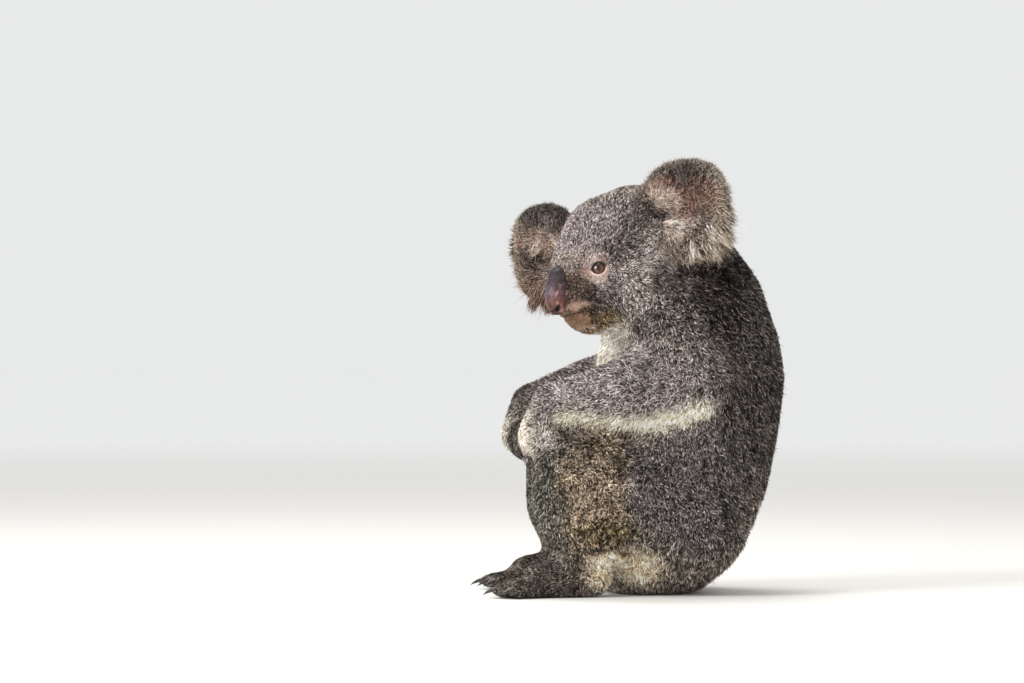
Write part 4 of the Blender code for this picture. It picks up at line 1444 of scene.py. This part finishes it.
face_node = node_of[read(skin.data.loops, "vertex_index")[read(skin.data.polygons, "loop_start")]]
bare = (eye_nearness < 9.0 * MM) | (groove > 0.55)
skin_ground = {"points": points, "outward": outward, "lie": lie, "bend": bend}
skin_ground.update(coat=coat_chart, bare=bare)
print(len(REGIONS), "regions")

# %% The whole coat
tuft_total = 0
for region, (nodes, slot, *habit) in REGIONS.items():
    mine = np.isin(face_node, [FLESH.index(node) for node in nodes])
    triangles, charts = unwrapped(skin, mine)
    for piece in grow(region, skin_ground, triangles, charts, *habit):
        finish_piece(piece, fur, slot)
        tuft_total += len(piece.data.polygons) // 2
for side in SIDES:
    lids = bpy.data.objects["eyelids_" + side]
    triangles, charts = unwrapped(lids, np.ones(len(lids.data.polygons), bool))
    for piece in grow("coat_lid_" + side, lid_grounds[side], triangles, charts, 0.1, 0.0):
        finish_piece(piece, fur, "pale_coat")
        tuft_total += len(piece.data.polygons) // 2
print("tufts in all:", tuft_total, "triangles:", tuft_total * BLADE_TRIANGLES)

# %% [markdown]
# ## Stage, light and camera
# A pale matt floor fades to white, and three soft lamps and an even sky light the figure as in a
# plain studio: a key from its front, a fill on its left and a weak one above. The camera stands off
# its left side with a long lens, and a little aside, so that the figure sits right of the middle.

# %% Floor and sky
floor_mesh = bmesh.new()
bmesh.ops.create_grid(floor_mesh, x_segments=1, y_segments=1, size=30)
floor = link_mesh("floor", floor_mesh)
floor_paint, floor_tree, floor_shader = start_material("matt studio floor", 0.9)
floor_place = add_node(floor_tree, "TexCoord")
floor_reach = add_node(floor_tree, "VectorMath", [(0, floor_place.outputs["Object"])], operation="LENGTH")
fade = add_node(
    floor_tree, "MapRange", [("Value", floor_reach.outputs["Value"])],
    interpolation_type="SMOOTHSTEP", from_min=0.6, from_max=7.0,
)
near_and_far = [(6, (*linear("#DCD9D4"), 1)), (7, (1, 1, 1, 1))]
paper = add_node(floor_tree, "Mix", [("Factor", fade.outputs["Result"])], near_and_far, data_type="RGBA")
floor_tree.links.new(paper.outputs[2], floor_shader.inputs["Base Color"])
floor.data.materials.append(floor_paint)

world = bpy.data.worlds.new("studio")
world.use_nodes = True
world.node_tree.nodes["Background"].inputs["Color"].default_value = (*linear("#F1F2F2"), 1)
world.node_tree.nodes["Background"].inputs["Strength"].default_value = 0.92
bpy.context.scene.world = world
bpy.context.scene.view_settings.view_transform = "Standard"
print("floor and sky")


# %% Lamps
def soft_light(name, place, aim, size, power, colour="#FFFFFF"):
    lamp = bpy.data.lights.new(name, "AREA")
    lamp.size = size
    lamp.energy = power
    lamp.color = linear(colour)
    thing = bpy.data.objects.new(name, lamp)
    bpy.context.scene.collection.objects.link(thing)
    thing.location = place
    thing.rotation_euler = (Vector(aim) - Vector(place)).to_track_quat("-Z", "Y").to_euler()
    return thing


middle = (cad_box[0] + cad_box[1]) / 2
soft_light("key", (0.9, -1.9, 1.3), middle, 1.0, 52)
soft_light("fill", (2.4, 0.2, 0.9), middle, 1.5, 7)
soft_light("top", (-0.5, -0.1, 2.1), middle, 1.0, 24)
print(len(bpy.data.lights), "lamps")

# %% Camera
AZIMUTH = math.radians(80)
LENS, SENSOR = 150, 36
VIEW_WIDTH = 973 * MM
AIM_ASIDE, AIM_ABOVE_FLOOR = -126.4 * MM, 238 * MM
back = Vector((math.sin(AZIMUTH), -math.cos(AZIMUTH), 0))
right = Vector((math.cos(AZIMUTH), math.sin(AZIMUTH), 0))
aim = right * AIM_ASIDE + Vector((0, 0, AIM_ABOVE_FLOOR))
aim += Vector((body.translation.x, body.translation.y, 0))
camera_data = bpy.data.cameras.new("camera")
camera_data.lens, camera_data.sensor_width = LENS, SENSOR
camera = bpy.data.objects.new("camera", camera_data)
bpy.context.scene.collection.objects.link(camera)
camera.location = aim + back * (VIEW_WIDTH * LENS / SENSOR)
camera.rotation_euler = (-back).to_track_quat("-Z", "Y").to_euler()
bpy.context.scene.camera = camera
print("camera", round((camera.location - aim).length, 2), "m from the figure")
